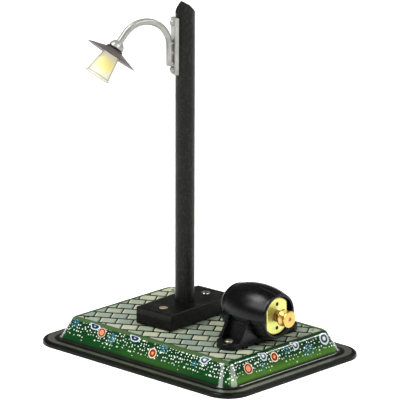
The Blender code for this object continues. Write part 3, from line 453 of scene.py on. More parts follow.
@dataclass(frozen=True)
class PrintedTin:
    """The tray's printed sheet: a cobbled top, dotted green sides and a dark flange.

    A place on a side is given by how far along the side it is and by how far up the sheet it
    lay before the tray was pressed, its rise, which unroll works out.
    """

    name: str = "printed_tray_enamel"
    half_x: float = 42.3
    half_y: float = 27.7
    edge: tuple[float, float] = (43.4, 29.3)
    unroll: tuple[float, float, float] = (0.613, 0.891, 6.194)
    upright: float = 1.12
    row_turn: float = math.radians(30)
    row_pitch: float = 6.8
    sett_length: float = 6.9
    row_start: float = 1.8
    sett_start: float = 4.0
    joint: float = 0.3
    dot_layers: tuple[tuple[float, float, float, float], ...] = (
        (1.45, 0.22, 0.34, 0.95), (2.9, 0.34, 0.46, 0.4),
    )
    long_side: tuple[Figure, ...] = (
        Figure(Motif.SEED, -29.3, 10.4, 1.5, 0.9, 1.9),
        Figure(Motif.BLOSSOM, -24.7, 8.9, 2.1),
        Figure(Motif.SPRAY, -18.6, 7.9, 2.2),
        Figure(Motif.SEED, -6.6, 10.4, 1.5, 0.9, 1.9),
        Figure(Motif.SUN, 5.0, 7.0, 2.1),
        Figure(Motif.SPRAY, 9.8, 9.9, 2.2),
        Figure(Motif.SPRAY, 27.9, 7.6, 1.5),
        Figure(Motif.DROP, 32.3, 10.1, 1.9, -1.0, 1.3),
        Figure(Motif.SPRAY, -40.4, 9.8, 2.2),
    )
    short_side: tuple[Figure, ...] = (
        Figure(Motif.BLOSSOM, -20.8, 7.2, 2.25),
        Figure(Motif.SPRAY, -13.0, 6.2, 1.8),
        Figure(Motif.DROP, -10.6, 9.7, 2.0, 0.8),
        Figure(Motif.SUN, -4.8, 8.2, 2.1),
        Figure(Motif.SPRAY, 3.4, 9.3, 1.9),
        Figure(Motif.DROP, 8.6, 9.9, 2.05, 0.8),
        Figure(Motif.SPRAY, 15.0, 6.7, 2.8),
        Figure(Motif.DROP, 25.5, 8.8, 2.6),
    )

    def build(self) -> bpy.types.Material:
        """Make the material."""
        sheet = Sheet(self.name)
        place = sheet.place()
        x, y, z = sheet.split(place)
        outside = (abs(x) - self.half_x).most(abs(y) - self.half_y)
        out = (abs(x) - self.edge[0]).most(abs(y) - self.edge[1])
        lift, scale, start = self.unroll
        green = self._sides(sheet, x, y, z, (z * lift - out) * scale + start)
        border = sheet.mix(outside.ramp(0.55, 0.95), tone(66, 92, 48), green)
        cobbled = self._cobbles(sheet, x, y)
        top = sheet.mix(outside.ramp(-0.05, 0.05), cobbled, border)
        sheet_colour = sheet.mix(z.ramp(2.75, 2.95), self._flange(sheet, place), top)
        smears = sheet.noise(place, 0.12, 3.0, 0.6)
        dimples = sheet.noise(place, 0.5, 2.0, 0.5)
        return sheet.finish(
            Base_Color=sheet_colour,
            Roughness=0.32 + smears.ramp(0.35, 0.75) * 0.12,
            Specular_IOR_Level=0.05,
            Coat_Weight=1.0,
            Coat_Roughness=0.06,
            Coat_IOR=1.62,
            Normal=sheet.bump(dimples, 0.05, 0.35),
        )

    def _flange(self, sheet: Sheet, place: Signal) -> Signal:
        """The dark enamel of the flange and rim."""
        clouds = sheet.noise(place, 0.16, 3.0, 0.6)
        return sheet.mix(clouds.ramp(0.35, 0.7), tone(18, 22, 14), tone(30, 35, 24))

    def _cobbles(self, sheet: Sheet, x: Signal, y: Signal) -> Signal:
        """Printed setts in running bond.

        Args:
            sheet: The material's sheet.
            x: Place along the tray.
            y: Place across the tray.

        Returns:
            The colour of the top.
        """
        wobble = sheet.noise(sheet.join(x, y, 0.0), 0.55, 2.0) - 0.5
        cos, sin = math.cos(self.row_turn), math.sin(self.row_turn)
        across = y * cos - x * sin + wobble * 0.35
        along = x * cos + y * sin + across * 0.058 + wobble * 0.3
        rows = (across + self.row_start) / self.row_pitch
        row = rows.__floor__()
        odd = (row * 0.5).loose() * 2
        columns = (along - self.sett_start) / self.sett_length + odd * 0.5
        column = columns.__floor__()
        u = columns.loose() * self.sett_length
        v = rows.loose() * self.row_pitch
        right, top = self.sett_length - u, self.row_pitch - v
        edge = sheet.math("SMOOTH_MIN", u.least(right), v.least(top) - 0.34, 0.7)
        chance = sheet.random(sheet.join(row, column, 0.0))
        face = sheet.mix(chance[0].ramp(0.1, 0.9), tone(154, 170, 150), tone(198, 202, 172))
        face = sheet.mix((chance[1] > 0.66) * 0.5, face, tone(140, 160, 150))
        mottle = sheet.noise(sheet.join(x, y, 0.0), 0.9, 3.0, 0.65)
        face = sheet.shaded(face, 0.8 + mottle * 0.36)
        shade = (right.ramp(1.5, 0.3)).most(v.ramp(1.3, 0.3)) * 0.34
        face = sheet.mix(shade, face, tone(74, 90, 66))
        light = (u.ramp(1.15, 0.5)).most(top.ramp(1.1, 0.5)) * (0.35 + mottle * 0.8)
        face = sheet.mix(light.least(0.75), face, tone(226, 226, 196))
        return sheet.mix(edge.ramp(self.joint + 0.14, self.joint - 0.08), face, tone(14, 20, 10))

    def _sides(self, sheet: Sheet, x: Signal, y: Signal, z: Signal, rise: Signal) -> Signal:
        """The green sides with their dots and figures.

        Args:
            sheet: The material's sheet.
            x: Place along the tray.
            y: Place across the tray.
            z: Height.
            rise: Place up the unrolled side.

        Returns:
            The colour of the sides.
        """
        on_long = (abs(y) - self.half_y) > (abs(x) - self.half_x)
        along_long = x * y.sign() * -1
        along_short = y * x.sign()
        along = along_short + (along_long - along_short) * on_long
        clouds = sheet.noise(sheet.join(along, z, on_long), 0.09, 2.0, 0.5)
        middle = (abs(along_long - 6) * -1).ramp(-30, -2)
        yellowed = z.ramp(7.8, 3.4) * (1 - on_long * (1 - middle * 0.75))
        deep = sheet.mix(z.ramp(4.0, 10.5), tone(0, 68, 18), tone(0, 54, 24))
        deep = sheet.mix(clouds.ramp(0.5, 0.75) * 0.5, deep, tone(18, 86, 28))
        yellow = sheet.mix(on_long, tone(86, 132, 44), tone(58, 102, 32))
        ground = sheet.mix(yellowed * 0.85, deep, yellow)
        # painted highlight: a lighter green band along the long sides' rounded shoulder, where light
        # catches it
        ground = sheet.mix(rise.ramp(10.3, 11.3) * on_long * 0.5, ground, tone(100, 130, 74))
        # painted shade: the sides darken towards the fold, where the fold's shadow falls
        ground = sheet.mix(z.ramp(3.9, 2.9) * 0.55, ground, tone(6, 44, 20))
        ground = self._dots(sheet, ground, along, rise, on_long)
        for kind in (Motif.SPRAY, Motif.SUN, Motif.BLOSSOM, Motif.DROP, Motif.SEED):
            ground = self._figures(sheet, ground, kind, along, rise, on_long)
        return ground

    def _dots(self, sheet: Sheet, ground: Signal, along: Signal, rise: Signal, side: Signal) -> Signal:
        """White dots, thick near the top and few lower down.

        Args:
            sheet: The material's sheet.
            ground: The colour so far.
            along: Place along the side.
            rise: Place up the unrolled side.
            side: 1 on the two long sides, which have dots of their own.

        Returns:
            The colour with the dots over it.
        """
        flat = sheet.join(along + side * 300, rise * self.upright, 0.0)
        crowd = rise.ramp(3.2, 7.6) * rise.ramp(11.0, 10.2)
        for pitch, small, large, share in self.dot_layers:
            distance, chance = sheet.cells(flat, pitch, 0.6)
            size = small + chance[0] * (large - small)
            inside = (size - distance).ramp(-0.05, 0.06)
            kept = chance[1] < crowd * share
            white = sheet.mix(chance[2].ramp(0.6, 0.9), tone(252, 255, 246), tone(190, 226, 182))
            ground = sheet.mix(inside * kept, ground, white)
        return ground

    def _figures(
        self, sheet: Sheet, ground: Signal, kind: Motif, along: Signal, rise: Signal, on_long: Signal
    ) -> Signal:
        """Every figure of one kind.

        Args:
            sheet: The material's sheet.
            ground: The colour so far.
            kind: Which kind is printed now.
            along: Place along the side.
            rise: Place up the unrolled side.
            on_long: 1 on the two long sides.

        Returns:
            The colour with the figures over it.
        """
        reach = None
        for figures, mask in ((self.long_side, on_long), (self.short_side, 1 - on_long)):
            for figure in (f for f in figures if f.kind is kind):
                found = self._reach(sheet, figure, along, rise) + (1 - mask) * 9
                reach = found if reach is None else reach.least(found)
        if kind is Motif.SPRAY:
            distance, chance = sheet.cells(sheet.join(along, rise * self.upright, 0.0), 0.82)
            dots = (0.24 + chance[2] * 0.08 - distance).ramp(-0.05, 0.06) * (chance[0] < 0.85)
            blue = sheet.mix(chance[1], tone(40, 120, 140), tone(96, 156, 188))
            return sheet.mix(dots * reach.ramp(1.1, 0.8), ground, blue)
        for limit, colour in BANDS[kind]:
            ground = sheet.mix(reach.ramp(limit + 0.05, limit - 0.05), ground, colour)
        return ground

    def _reach(self, sheet: Sheet, figure: Figure, along: Signal, rise: Signal) -> Signal:
        """How far a point is from a figure's middle.

        Args:
            sheet: The material's sheet.
            figure: The figure.
            along: Place along the side.
            rise: Place up the unrolled side.

        Returns:
            The distance, where 1 is the figure's outline.
        """
        dx = (along - figure.along) * (1 / figure.radius / figure.wide)
        dz = (rise - figure.height) * (self.upright / figure.radius)
        if figure.turn:
            cos, sin = math.cos(figure.turn), math.sin(figure.turn)
            dx, dz = dx * cos + dz * sin, dz * cos - dx * sin
            tip = dz.most(0.0)
            dx, dz = dx * (1 + tip * 0.75), dz - tip * 0.3
        return sheet.vector_math("LENGTH", sheet.join(dx, dz, 0.0))


@dataclass(frozen=True)
class LitGlass:
    """Frosted glass with the bulb's warm light in it, thicker and greener at its rims."""

    name: str
    centre: tuple[float, float, float]
    mouth: tuple[float, float, float]
    axis: tuple[float, float, float]
    cream: Colour = (0.76, 0.74, 0.62)
    green: Colour = (0.24, 0.27, 0.18)
    near: float = 4.2
    far: float = 5.7

    def build(self) -> bpy.types.Material:
        """Make the material."""
        sheet = Sheet(self.name)
        place = sheet.place()
        frost = sheet.noise(place, 2.2, 3.0, 0.6)
        facing = sheet.signal(sheet.node("ShaderNodeLayerWeight", None, {"Blend": 0.5}), "Facing")
        near_bulb = sheet.vector_math("DISTANCE", place, self.centre).ramp(self.far, self.near)
        warmth = near_bulb * facing.ramp(0.75, 0.1)
        from_mouth = sheet.vector_math("SUBTRACT", place, self.mouth)
        level = sheet.vector_math("DOT_PRODUCT", from_mouth, self.axis)
        groove = level.ramp(0.5, 0.85) * level.ramp(1.35, 1.0)
        thick = (facing.ramp(0.38, 0.66) * 0.75).most(groove * 0.6)
        lit = sheet.mix(warmth, self.cream, (0.82, 0.75, 0.4))
        body = sheet.mix(thick, lit, self.green)
        glow = sheet.mix(warmth, (0.7, 0.68, 0.56), (1.0, 0.86, 0.16))
        return sheet.finish(
            Base_Color=body,
            Roughness=0.36 + frost * 0.2,
            Transmission_Weight=0.25,
            IOR=1.45,
            Emission_Color=sheet.shaded(glow, 1 - thick * 0.85),
            Emission_Strength=0.3,
            Normal=sheet.bump(frost, 0.02),
        )


@dataclass(frozen=True)
class LitBulb:
    """The small bulb's glass, lit from inside."""

    name: str = "lit_bulb_glass"

    def build(self) -> bpy.types.Material:
        """Make the material."""
        sheet = Sheet(self.name)
        clouds = sheet.noise(sheet.place(), 0.8, 2.0)
        glow = sheet.mix(clouds, (1.0, 0.72, 0.22), (1.0, 0.86, 0.42))
        return sheet.finish(
            Base_Color=glow, Roughness=0.2, Emission_Color=glow, Emission_Strength=1.1
        )


# ---------------------------------------------------------------- mesh kit


def arc(centre: tuple[float, float], radius: float, start: float, end: float, steps: int) -> list:
    """Points of an arc, angles in degrees, in millimetres like every size here."""
    turns = [math.radians(start + (end - start) * k / steps) for k in range(steps + 1)]
    return [(centre[0] + radius * math.cos(a), centre[1] + radius * math.sin(a)) for a in turns]


def loft(rings: Sequence[Ring], closed: bool = False, capped: bool = True) -> Mesh:
    """Skin a row of rings; a ring of one point is a tip.

    Args:
        rings: The rings, all of one length but for tips.
        closed: Whether the last ring joins the first.
        capped: Whether open ends are closed with a face.

    Returns:
        The mesh.
    """
    bm = bmesh.new()
    made = [[bm.verts.new(point) for point in ring] for ring in rings]
    following = made[1:] + (made[:1] if closed else [])
    for lower, upper in zip(made, following):
        count = max(len(lower), len(upper))
        for k in range(count):
            corners = [lower[k % len(lower)], lower[(k + 1) % len(lower)]]
            corners += [upper[(k + 1) % len(upper)], upper[k % len(upper)]]
            bm.faces.new(list(dict.fromkeys(corners)))
    if capped and not closed:
        for ring in (made[0], made[-1]):
            if len(ring) > 2:
                bm.faces.new(ring)
    bmesh.ops.recalc_face_normals(bm, faces=bm.faces)
    return bm


def lathe(profile: Profile, steps: int = 64, closed: bool = False) -> Mesh:
    """Turn a profile of (radius, height) about Z."""
    rings = []
    for radius, height in profile:
        if radius < HAIR / 10:
            rings.append([(0.0, 0.0, height)])
        else:
            rings.append([(x, y, height) for x, y in arc((0, 0), radius, 0, 360, steps)[:-1]])
    return loft(rings, closed)


def rod(radius: float, low: float, high: float, steps: int = 48) -> Mesh:
    """A plain cylinder along Z, for cutting and joining."""
    return lathe([(0, low), (radius, low), (radius, high), (0, high)], steps)


def sweep(path: Sequence[Vector], radii: Sequence[float], sides: int = 32) -> Mesh:
    """A round tube along a path that lies in the XZ plane."""
    rings = []
    for k, point in enumerate(path):
        ahead = path[min(k + 1, len(path) - 1)] - path[max(k - 1, 0)]
        ahead.normalize()
        side = Vector((0, 1, 0))
        lift = ahead.cross(side)
        turns = [2 * math.pi * n / sides for n in range(sides)]
        rings.append([point + (side * math.cos(a) + lift * math.sin(a)) * radii[k] for a in turns])
    return loft(rings)


def slab(low: Ring, high: Ring, edge: float = 0.0, segments: int = 3) -> Mesh:
    """A box with rounded edges.

    Args:
        low: Its lowest corner.
        high: Its highest corner.
        edge: How much is taken off each edge.
        segments: The steps round an edge.

    Returns:
        The mesh.
    """
    bm = bmesh.new()
    bmesh.ops.create_cube(bm, size=1.0)
    size = Vector(high) - Vector(low)
    bmesh.ops.scale(bm, vec=size, verts=bm.verts)
    bmesh.ops.translate(bm, vec=(Vector(low) + Vector(high)) / 2, verts=bm.verts)
    if edge:
        soften(bm, bm.edges[:], edge, segments)
    return bm


def prism(outline: Profile, low: float, high: float, edge: float = 0.0) -> Mesh:
    """An outline raised along Z, with both end edges rounded."""
    bm = loft([[(x, y, height) for x, y in outline] for height in (low, high)])
    if edge:
        rims = [e for e in bm.edges if abs(e.verts[0].co.z - e.verts[1].co.z) < HAIR]
        soften(bm, rims, edge, 3)
    return bm


def soften(bm: Mesh, edges: Iterable, width: float, segments: int) -> None:
    """Round edges."""
    bmesh.ops.bevel(
        bm, geom=list(edges), offset=width, segments=segments, profile=0.5, affect="EDGES",
        clamp_overlap=True,
    )


def moved(bm: Mesh, place: Matrix) -> Mesh:
    """A mesh put in place."""
    bmesh.ops.transform(bm, matrix=place, verts=bm.verts)
    return bm


def to_mesh(bm: Mesh, name: str = "blank") -> bpy.types.Mesh:
    """Close a mesh under construction.

    Args:
        bm: The mesh, which is used up.
        name: What the closed mesh is called.

    Returns:
        The closed mesh.
    """
    mesh = bpy.data.meshes.new(name)
    bm.to_mesh(mesh)
    bm.free()
    return mesh


def worked(bm: Mesh, steps: Sequence[tuple[str, Mesh]]) -> Mesh:
    """Join tools to a mesh or cut them out of it.

    Args:
        bm: The blank, which is used up.
        steps: Pairs of "UNION" or "DIFFERENCE" and a tool, which is used up.

    Returns:
        The result.
    """
    blank = bpy.data.objects.new("blank", to_mesh(bm))
    bpy.context.scene.collection.objects.link(blank)
    tools = []
    for operation, tool_mesh in steps:
        tool = bpy.data.objects.new("tool", to_mesh(tool_mesh))
        bpy.context.scene.collection.objects.link(tool)
        tools.append(tool)
        modifier = blank.modifiers.new("work", "BOOLEAN")
        modifier.operation = operation
        modifier.object = tool
        modifier.solver = "EXACT"
    graph = bpy.context.evaluated_depsgraph_get()
    result = bmesh.new()
    result.from_mesh(blank.evaluated_get(graph).to_mesh())
    for used in (blank, *tools):
        mesh = used.data
        bpy.data.objects.remove(used)
        bpy.data.meshes.remove(mesh)
    bmesh.ops.remove_doubles(result, verts=result.verts, dist=0.0005)
    bmesh.ops.recalc_face_normals(result, faces=result.faces)
    return result


def along_x(start: float = 0.0) -> Matrix:
    """Stand a Z-axis shape along X, starting at a place along it."""
    return Matrix.Translation((start, 0, 0)) @ Matrix.Rotation(math.radians(90), 4, "Y")


@dataclass
class Maker:
    """Places pieces and gives them their body and finish."""

    made: int = 0

    def piece(
        self,
        name: str,
        bm: Mesh,
        finish: bpy.types.Material | list[bpy.types.Material],
        body: Body,
        slot: str,
        nodes: Sequence[str],
        place: Matrix = Matrix.Identity(4),
        crease: float = 32.0,
    ) -> bpy.types.Object:
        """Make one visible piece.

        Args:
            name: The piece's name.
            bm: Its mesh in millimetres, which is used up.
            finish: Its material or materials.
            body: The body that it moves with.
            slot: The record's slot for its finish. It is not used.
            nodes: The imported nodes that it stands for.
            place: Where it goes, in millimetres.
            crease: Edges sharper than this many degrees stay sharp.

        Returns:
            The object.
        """
        moved(bm, Matrix.Scale(MM, 4) @ place)
        if place.determinant() < 0:
            bmesh.ops.reverse_faces(bm, faces=bm.faces)
        mesh = to_mesh(bm, name)
        mesh.shade_smooth()
        mesh.set_sharp_from_angle(angle=math.radians(crease))
        for material in finish if isinstance(finish, list) else [finish]:
            mesh.materials.append(material)
        obj = bpy.data.objects.new(name, mesh)
        bpy.context.scene.collection.objects.link(obj)
        even = obj.modifiers.new("even_faces", "WEIGHTED_NORMAL")
        even.keep_sharp = True
        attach(obj, body.value)
        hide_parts(*nodes)
        self.made += 1
        LOG.info("%s stands for %s, %d faces", name, ", ".join(nodes), len(mesh.polygons))
        return obj

    def dress(self, node: str, finish: bpy.types.Material) -> None:
        """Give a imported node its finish."""
        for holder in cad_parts[node].material_slots:
            holder.material = finish
        LOG.info("%s keeps its own shape in %s", node, finish.name)


def middle(node: str) -> Vector:
    """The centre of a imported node's box, in millimetres."""
    low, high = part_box(node)
    return (low + high) / (2 * MM)


# ---------------------------------------------------------------- tray


@dataclass
class PressedTray:
    """The printed tin tray."""

    half_x: float = 43.4
    half_y: float = 29.3
    height: float = 11.0
    sheet: float = 0.4
    border: float = 12.05
    top_corner: float = 3.6
    rim_corner: float = 10.5
    slope: float = 63.0
    shoulder: float = 2.2
    fold: float = 1.0
    flange: float = 2.0
    rim: float = 1.0
    holes: tuple[float, float, float] = (39.2, 25.5, 0.95)
    screw_hole: float = 1.3
    lead_hole: float = 0.9
    corner_steps: int = 20

    def profile(self) -> list[tuple[float, float]]:
        """Steps out from the flat top's edge, and heights, down to the rim."""
        slope = math.radians(self.slope)
        points = []
        for turn in (slope * k / 10 for k in range(11)):
            drop = self.shoulder * (1 - math.cos(turn))
            points.append((self.shoulder * math.sin(turn), self.height - drop))
        out, high = points[-1]
        low = self.flange + self.fold * (1 - math.cos(slope))
        foot = out + (high - low) / math.tan(slope)
        centre = foot + self.fold * math.sin(slope)
        for turn in (slope * (1 - k / 6) for k in range(7)):
            rise = self.fold * (1 - math.cos(turn))
            points.append((centre - self.fold * math.sin(turn), self.flange + rise))
        last = points[-1][0]
        edge = self.border - self.rim
        for share, lift in ((0.3, -0.12), (0.6, -0.05), (0.85, 0.0)):
            points.append((last + (edge - last) * share, self.flange + lift))
        for turn in (math.radians(90 * (1 - k / 8)) for k in range(9)):
            out = edge + self.rim * math.cos(turn)
            points.append((out, self.flange - self.rim * (1 - math.sin(turn))))
        points.append((self.border, 0.0))
        return points

    def ring(self, out: float, height: float) -> list[tuple[float, float, float]]:
        """One rounded rectangle.

        Args:
            out: How far it is outside the flat top's edge.
            height: Its height.

        Returns:
            Its points.
        """
        half_x, half_y = self.half_x + out, self.half_y + out
        radius = self.top_corner + (self.rim_corner - self.top_corner) * out / self.border
        points = []
        for quarter, (sx, sy) in enumerate(((1, 1), (-1, 1), (-1, -1), (1, -1))):
            centre = (sx * (half_x - radius), sy * (half_y - radius))
            turn = 90 * quarter
            for x, y in arc(centre, radius, turn, turn + 90, self.corner_steps):
                points.append((x, y, height))
        return points

    def build(self, maker: Maker, finishes: Finishes) -> None:
        """Press the tray and pierce it.

        Args:
            maker: Places the pieces and keeps count.
            finishes: Every finish by name.
        """
        inner = []
        profile = self.profile()
        for k, (out, height) in enumerate(profile):
            before, after = profile[max(k - 1, 0)], profile[min(k + 1, len(profile) - 1)]
            run = Vector((after[0] - before[0], after[1] - before[1])).normalized()
            inner.append((out + run.y * self.sheet, height - run.x * self.sheet))
        inner[0] = (profile[0][0], profile[0][1] - self.sheet)
        inner[-1] = (self.border - self.sheet, 0.0)
        rings = [self.ring(*point) for point in profile + inner[::-1]]
        blank = loft(rings)
        holes_x, holes_y, radius = self.holes
        places = [(sx * holes_x, sy * holes_y, radius) for sx in (-1, 1) for sy in (-1, 1)]
        for name in ("foot_near_nut", "foot_far_nut", "dynamo_near_nut", "dynamo_far_nut"):
            centre = middle(name)
            places.append((centre.x, centre.y, self.screw_hole))
        mast = middle("mast_post")
        places.append((mast.x, mast.y, self.lead_hole))
        cuts = []
        for x, y, size in places:
            cutter = rod(size, self.height - 2, self.height + 2, 32)
            cuts.append(("DIFFERENCE", moved(cutter, Matrix.Translation((x, y, 0)))))
        tray = worked(blank, cuts)
        under = self.height - self.sheet / 2
        for face in tray.faces:
            centre = face.calc_center_median()
            inward = face.normal.z < -0.05 or face.normal.dot(Vector((centre.x, centre.y, 0))) < 0
            face.material_index = 2 if centre.z < self.flange + 0.02 else 0
            if inward and centre.z < under:
                face.material_index = 1
        materials = [finishes[name] for name in ("tin_print", "tin_underside", "flange")]
        maker.piece("printed_tray", tray, materials, Body.STAND, "printed_tin", ["base_tray"])


# ---------------------------------------------------------------- screws


@dataclass
class SlottedScrew:
    """A round-head wood or machine screw with a slot."""

    head_radius: float = 1.8
    head_height: float = 0.8
    shank: float = 1.0
    slot_width: float = 0.45
    slot_depth: float = 0.4
    turn: float = 0.0
    pitch: float = 0.4
    plain: float = 0.8

    def mesh(self, seat: float, tip: float) -> Mesh:
        """The screw with its head on a seat.

        Args:
            seat: The height of the face under the head.
            tip: The height of the tip.

        Returns:
            The mesh.
        """
        top = seat + self.head_height
        dome = []
        for k in range(9):
            turn = math.radians(90 * k / 8)
            dome.append((self.head_radius * math.sin(turn), seat + self.head_height * math.cos(turn)))
        profile = dome + [(self.head_radius, seat - 0.04), (self.shank, seat - 0.04)]
        for k in range(int((seat - self.plain - tip) / self.pitch)):
            level = seat - self.plain - k * self.pitch
            profile += [(self.shank, level), (self.shank - 0.16, level - self.pitch / 2)]
        profile += [(self.shank * 0.8, tip), (0, tip)]
        blank = lathe(profile, 40)
        half = self.slot_width / 2
        reach = self.head_radius + 1
        slot = slab((-reach, -half, top - self.slot_depth), (reach, half, top + 1))
        return worked(blank, [("DIFFERENCE", moved(slot, Matrix.Rotation(self.turn, 4, "Z")))])


# ---------------------------------------------------------------- mast and its foot


@dataclass
class MastFoot:
    """The wooden block with its two screws."""

    length: float = 39.2
    width: float = 19.2
    low: float = 11.3
    high: float = 18.4
    turn: float = math.radians(3)
    edge: float = 0.6
    screw_offset: float = 13.4
    screw_tip: float = 7.0
    socket: float = 4.12
    lead_hole: float = 0.9

    def build(self, maker: Maker, finishes: Finishes) -> None:
        """Make the block and its screws.

        Args:
            maker: Places the pieces and keeps count.
            finishes: Every finish by name.
        """
        centre = middle("mast_post")
        place = Matrix.Translation((centre.x, centre.y, 0)) @ Matrix.Rotation(self.turn, 4, "Z")
        half = (self.width / 2, self.length / 2)
        block = slab((-half[0], -half[1], self.low), (half[0], half[1], self.high), self.edge, 4)
        cuts = [("DIFFERENCE", rod(self.socket, self.low + 1.2, self.high + 2, 96))]
        cuts.append(("DIFFERENCE", rod(self.lead_hole, 0, self.high, 24)))
        for side in (-1, 1):
            sink = [(0, 0), (1.25, 0), (1.25, self.high - 0.35), (2.0, self.high), (2.0, 30), (0, 30)]
            hole = moved(lathe(sink, 40), Matrix.Translation((0, side * self.screw_offset, 0)))
            cuts.append(("DIFFERENCE", hole))
        block = worked(block, cuts)
        maker.piece(
            "black_foot_block", block, finishes["block_wood"], Body.STAND, "black_wood",
            ["mast_foot_block"], place,
        )
        near = SlottedScrew(1.85, 0.35, 1.0, 0.4, 0.16, 0.5)
        far = SlottedScrew(1.8, 0.6, 1.0, 0.5, 0.42, -0.5)
        choices = ((-1, "near", near, "aged_nickel"), (1, "far", far, "nickel"))
        for side, label, screw, finish in choices:
            spot = place @ Matrix.Translation((0, side * self.screw_offset, 0))
            mesh = screw.mesh(self.high - 0.1, self.screw_tip)
            maker.piece(
                f"block_screw_{label}", mesh, finishes[finish], Body.STAND, "bright_nickel",
                [f"foot_{label}_screw"], spot,
            )


@dataclass
class Mast:
    """The dowel mast with its roof-shaped top."""

    radius: float = 4.0
    low: float = 12.8
    top: float = 144.0
    heading: float = math.radians(-111.7)
    edge: float = 0.22

    def place(self) -> Matrix:
        """The mast's frame: Z up the middle, X along the arm."""
        centre = middle("mast_foot_block")
        return Matrix.Translation((centre.x, centre.y, 0)) @ Matrix.Rotation(self.heading, 4, "Z")

    def build(self, maker: Maker, finishes: Finishes) -> None:
        """Turn the dowel and cut its top.

        Args:
            maker: Places the pieces and keeps count.
            finishes: Every finish by name.
        """
        post = lathe([(0, self.low), (self.radius, self.low), (self.radius, self.top), (0, self.top)], 96)
        for side in (-1, 1):
            cut = bmesh.ops.bisect_plane(
                post, geom=post.verts[:] + post.edges[:] + post.faces[:],
                plane_co=(0, 0, self.top), plane_no=(side, 0, 1), clear_outer=True,
            )
            edges = [e for e in cut["geom_cut"] if isinstance(e, bmesh.types.BMEdge)]
            bmesh.ops.contextual_create(post, geom=edges)
        bmesh.ops.remove_doubles(post, verts=post.verts, dist=0.001)
        bmesh.ops.recalc_face_normals(post, faces=post.faces)
        roof = self.top - self.radius - 0.5
        sharp = [
            e for e in post.edges
            if min(v.co.z for v in e.verts) > roof and e.calc_face_angle(0) > math.radians(15)
        ]
        soften(post, sharp, self.edge, 2)
        maker.piece(
            "black_mast", post, finishes["mast_wood"], Body.MAST, "black_wood", ["mast_post"],
            self.place(),
        )


# ---------------------------------------------------------------- bracket, neck and lamp


@dataclass
class Bracket:
    """The cast plate, its bolts and the swan neck."""

    back: float = 3.6
    front: float = 5.5
    width: float = 4.6
    low: float = 114.6
    high: float = 138.3
    inset: float = 2.1
    neck_u: float = 7.1
    neck_radius: float = 1.4
    neck_low: float = 118.4
    arch_radius: float = 10.9
    arch_z: float = 127.0
    tilt: float = 37.5
    drop: float = 6.5
    knobs: tuple[float, float] = (119.7, 128.0)
    lead_z: float = 123.8
    bore: float = 0.7
    bolt_hole: float = 0.8
    hollow: float = 4.06

    def path(self, start: float, short: float) -> list[Vector]:
        """The neck's middle line.

        Args:
            start: The height where it starts.
            short: How far before the lamp's seat it ends.

        Returns:
            Its points.
        """
        centre = (self.neck_u + self.arch_radius, self.arch_z)
        points = [Vector((self.neck_u, 0, start))]
        for u, z in arc(centre, self.arch_radius, 180, self.tilt, 60):
            points.append(Vector((u, 0, z)))
        turn = math.radians(self.tilt)
        run = self.drop - short
        points.append(points[-1] + Vector((math.sin(turn), 0, -math.cos(turn))) * run)
        return points

    def plate(self) -> Mesh:
        """The plate, hollowed behind to sit on the mast."""
        half = self.width / 2
        blank = slab((self.back, -half, self.low), (self.front, half, self.high), 0.4, 3)
        cuts = [("DIFFERENCE", rod(self.hollow, self.low - 5, self.high + 5, 96))]
        bolts = [(z, self.bolt_hole) for z in (self.low + self.inset, self.high - self.inset)]
        for z, radius in (*bolts, (self.lead_z, self.bore)):
            hole = moved(rod(radius, 2, 8, 24), Matrix.Translation((0, 0, z)) @ along_x())
            cuts.append(("DIFFERENCE", hole))
        return worked(blank, cuts)

    def neck(self) -> Mesh:
        """The tube with its fin, knobs and bore."""
        radius = self.neck_radius
        toe = [(0.0, 0.45), (0.12, 0.72), (0.35, 0.87), (0.75, 0.93)]
        path = [Vector((self.neck_u, 0, self.neck_low + rise)) for rise, _ in toe]
        radii = [radius * share for _, share in toe]
        rest = self.path(self.neck_low + 1.3, 1.7)
        path += rest
        radii += [radius * (0.93 + 0.09 * k / (len(rest) - 1)) for k in range(len(rest))]
        face = self.front + 0.12
        low, high = self.knobs
        fin = slab((face, -0.65, low - 1.0), (self.neck_u, 0.65, high + 1.0), 0.25, 2)
        steps = [("UNION", fin)]
        across = Matrix.Rotation(math.radians(90), 4, "X")
        for z in self.knobs:
            ends = [(0, -1.45), (0.42, -1.45), (0.62, -1.2), (0.62, 1.2), (0.42, 1.45), (0, 1.45)]
            knob = moved(lathe(ends, 24), Matrix.Translation((face + 0.7, 0, z)) @ across)
            steps.append(("UNION", knob))
        level = Matrix.Translation((0, 0, self.lead_z)) @ along_x()
        steps.append(("UNION", moved(rod(1.2, face, self.neck_u, 32), level)))
        bore = self.path(self.lead_z - self.bore, 0)
        steps.append(("DIFFERENCE", sweep(bore, [self.bore] * len(bore), 16)))
        entry = moved(rod(self.bore, 4, self.neck_u, 24), level)
        steps.append(("DIFFERENCE", entry))
        return worked(sweep(path, radii, 36), steps)

    def bolt(self) -> Mesh:
        """A round-head bolt along X."""
        seat = self.front + 0.02
        turns = [math.pi * k / 16 for k in range(9)]
        dome = [(1.45 * math.sin(a), seat + 1.28 * math.cos(a)) for a in turns]
        return moved(lathe(dome + [(0.7, seat), (0.7, 2.4), (0, 1.9)], 40), along_x())

    def build(self, maker: Maker, finishes: Finishes, place: Matrix) -> None:
        """Make the plate, bolts and neck.

        Args:
            maker: Places the pieces and keeps count.
            finishes: Every finish by name.
            place: The mast's frame.
        """
        grey = finishes["silver_paint"]
        args = (grey, Body.MAST, "grey_cast")
        maker.piece("bracket_casting", self.plate(), *args, ["bracket_plate"], place)
        for label, z in (("lower", self.low + self.inset), ("upper", self.high - self.inset)):
            spot = place @ Matrix.Translation((0, 0, z))
            maker.piece(f"dome_bolt_{label}", self.bolt(), *args, [f"bracket_bolt_{label}"], spot)
        maker.piece("swan_neck", self.neck(), *args, ["swan_neck_tube"], place)


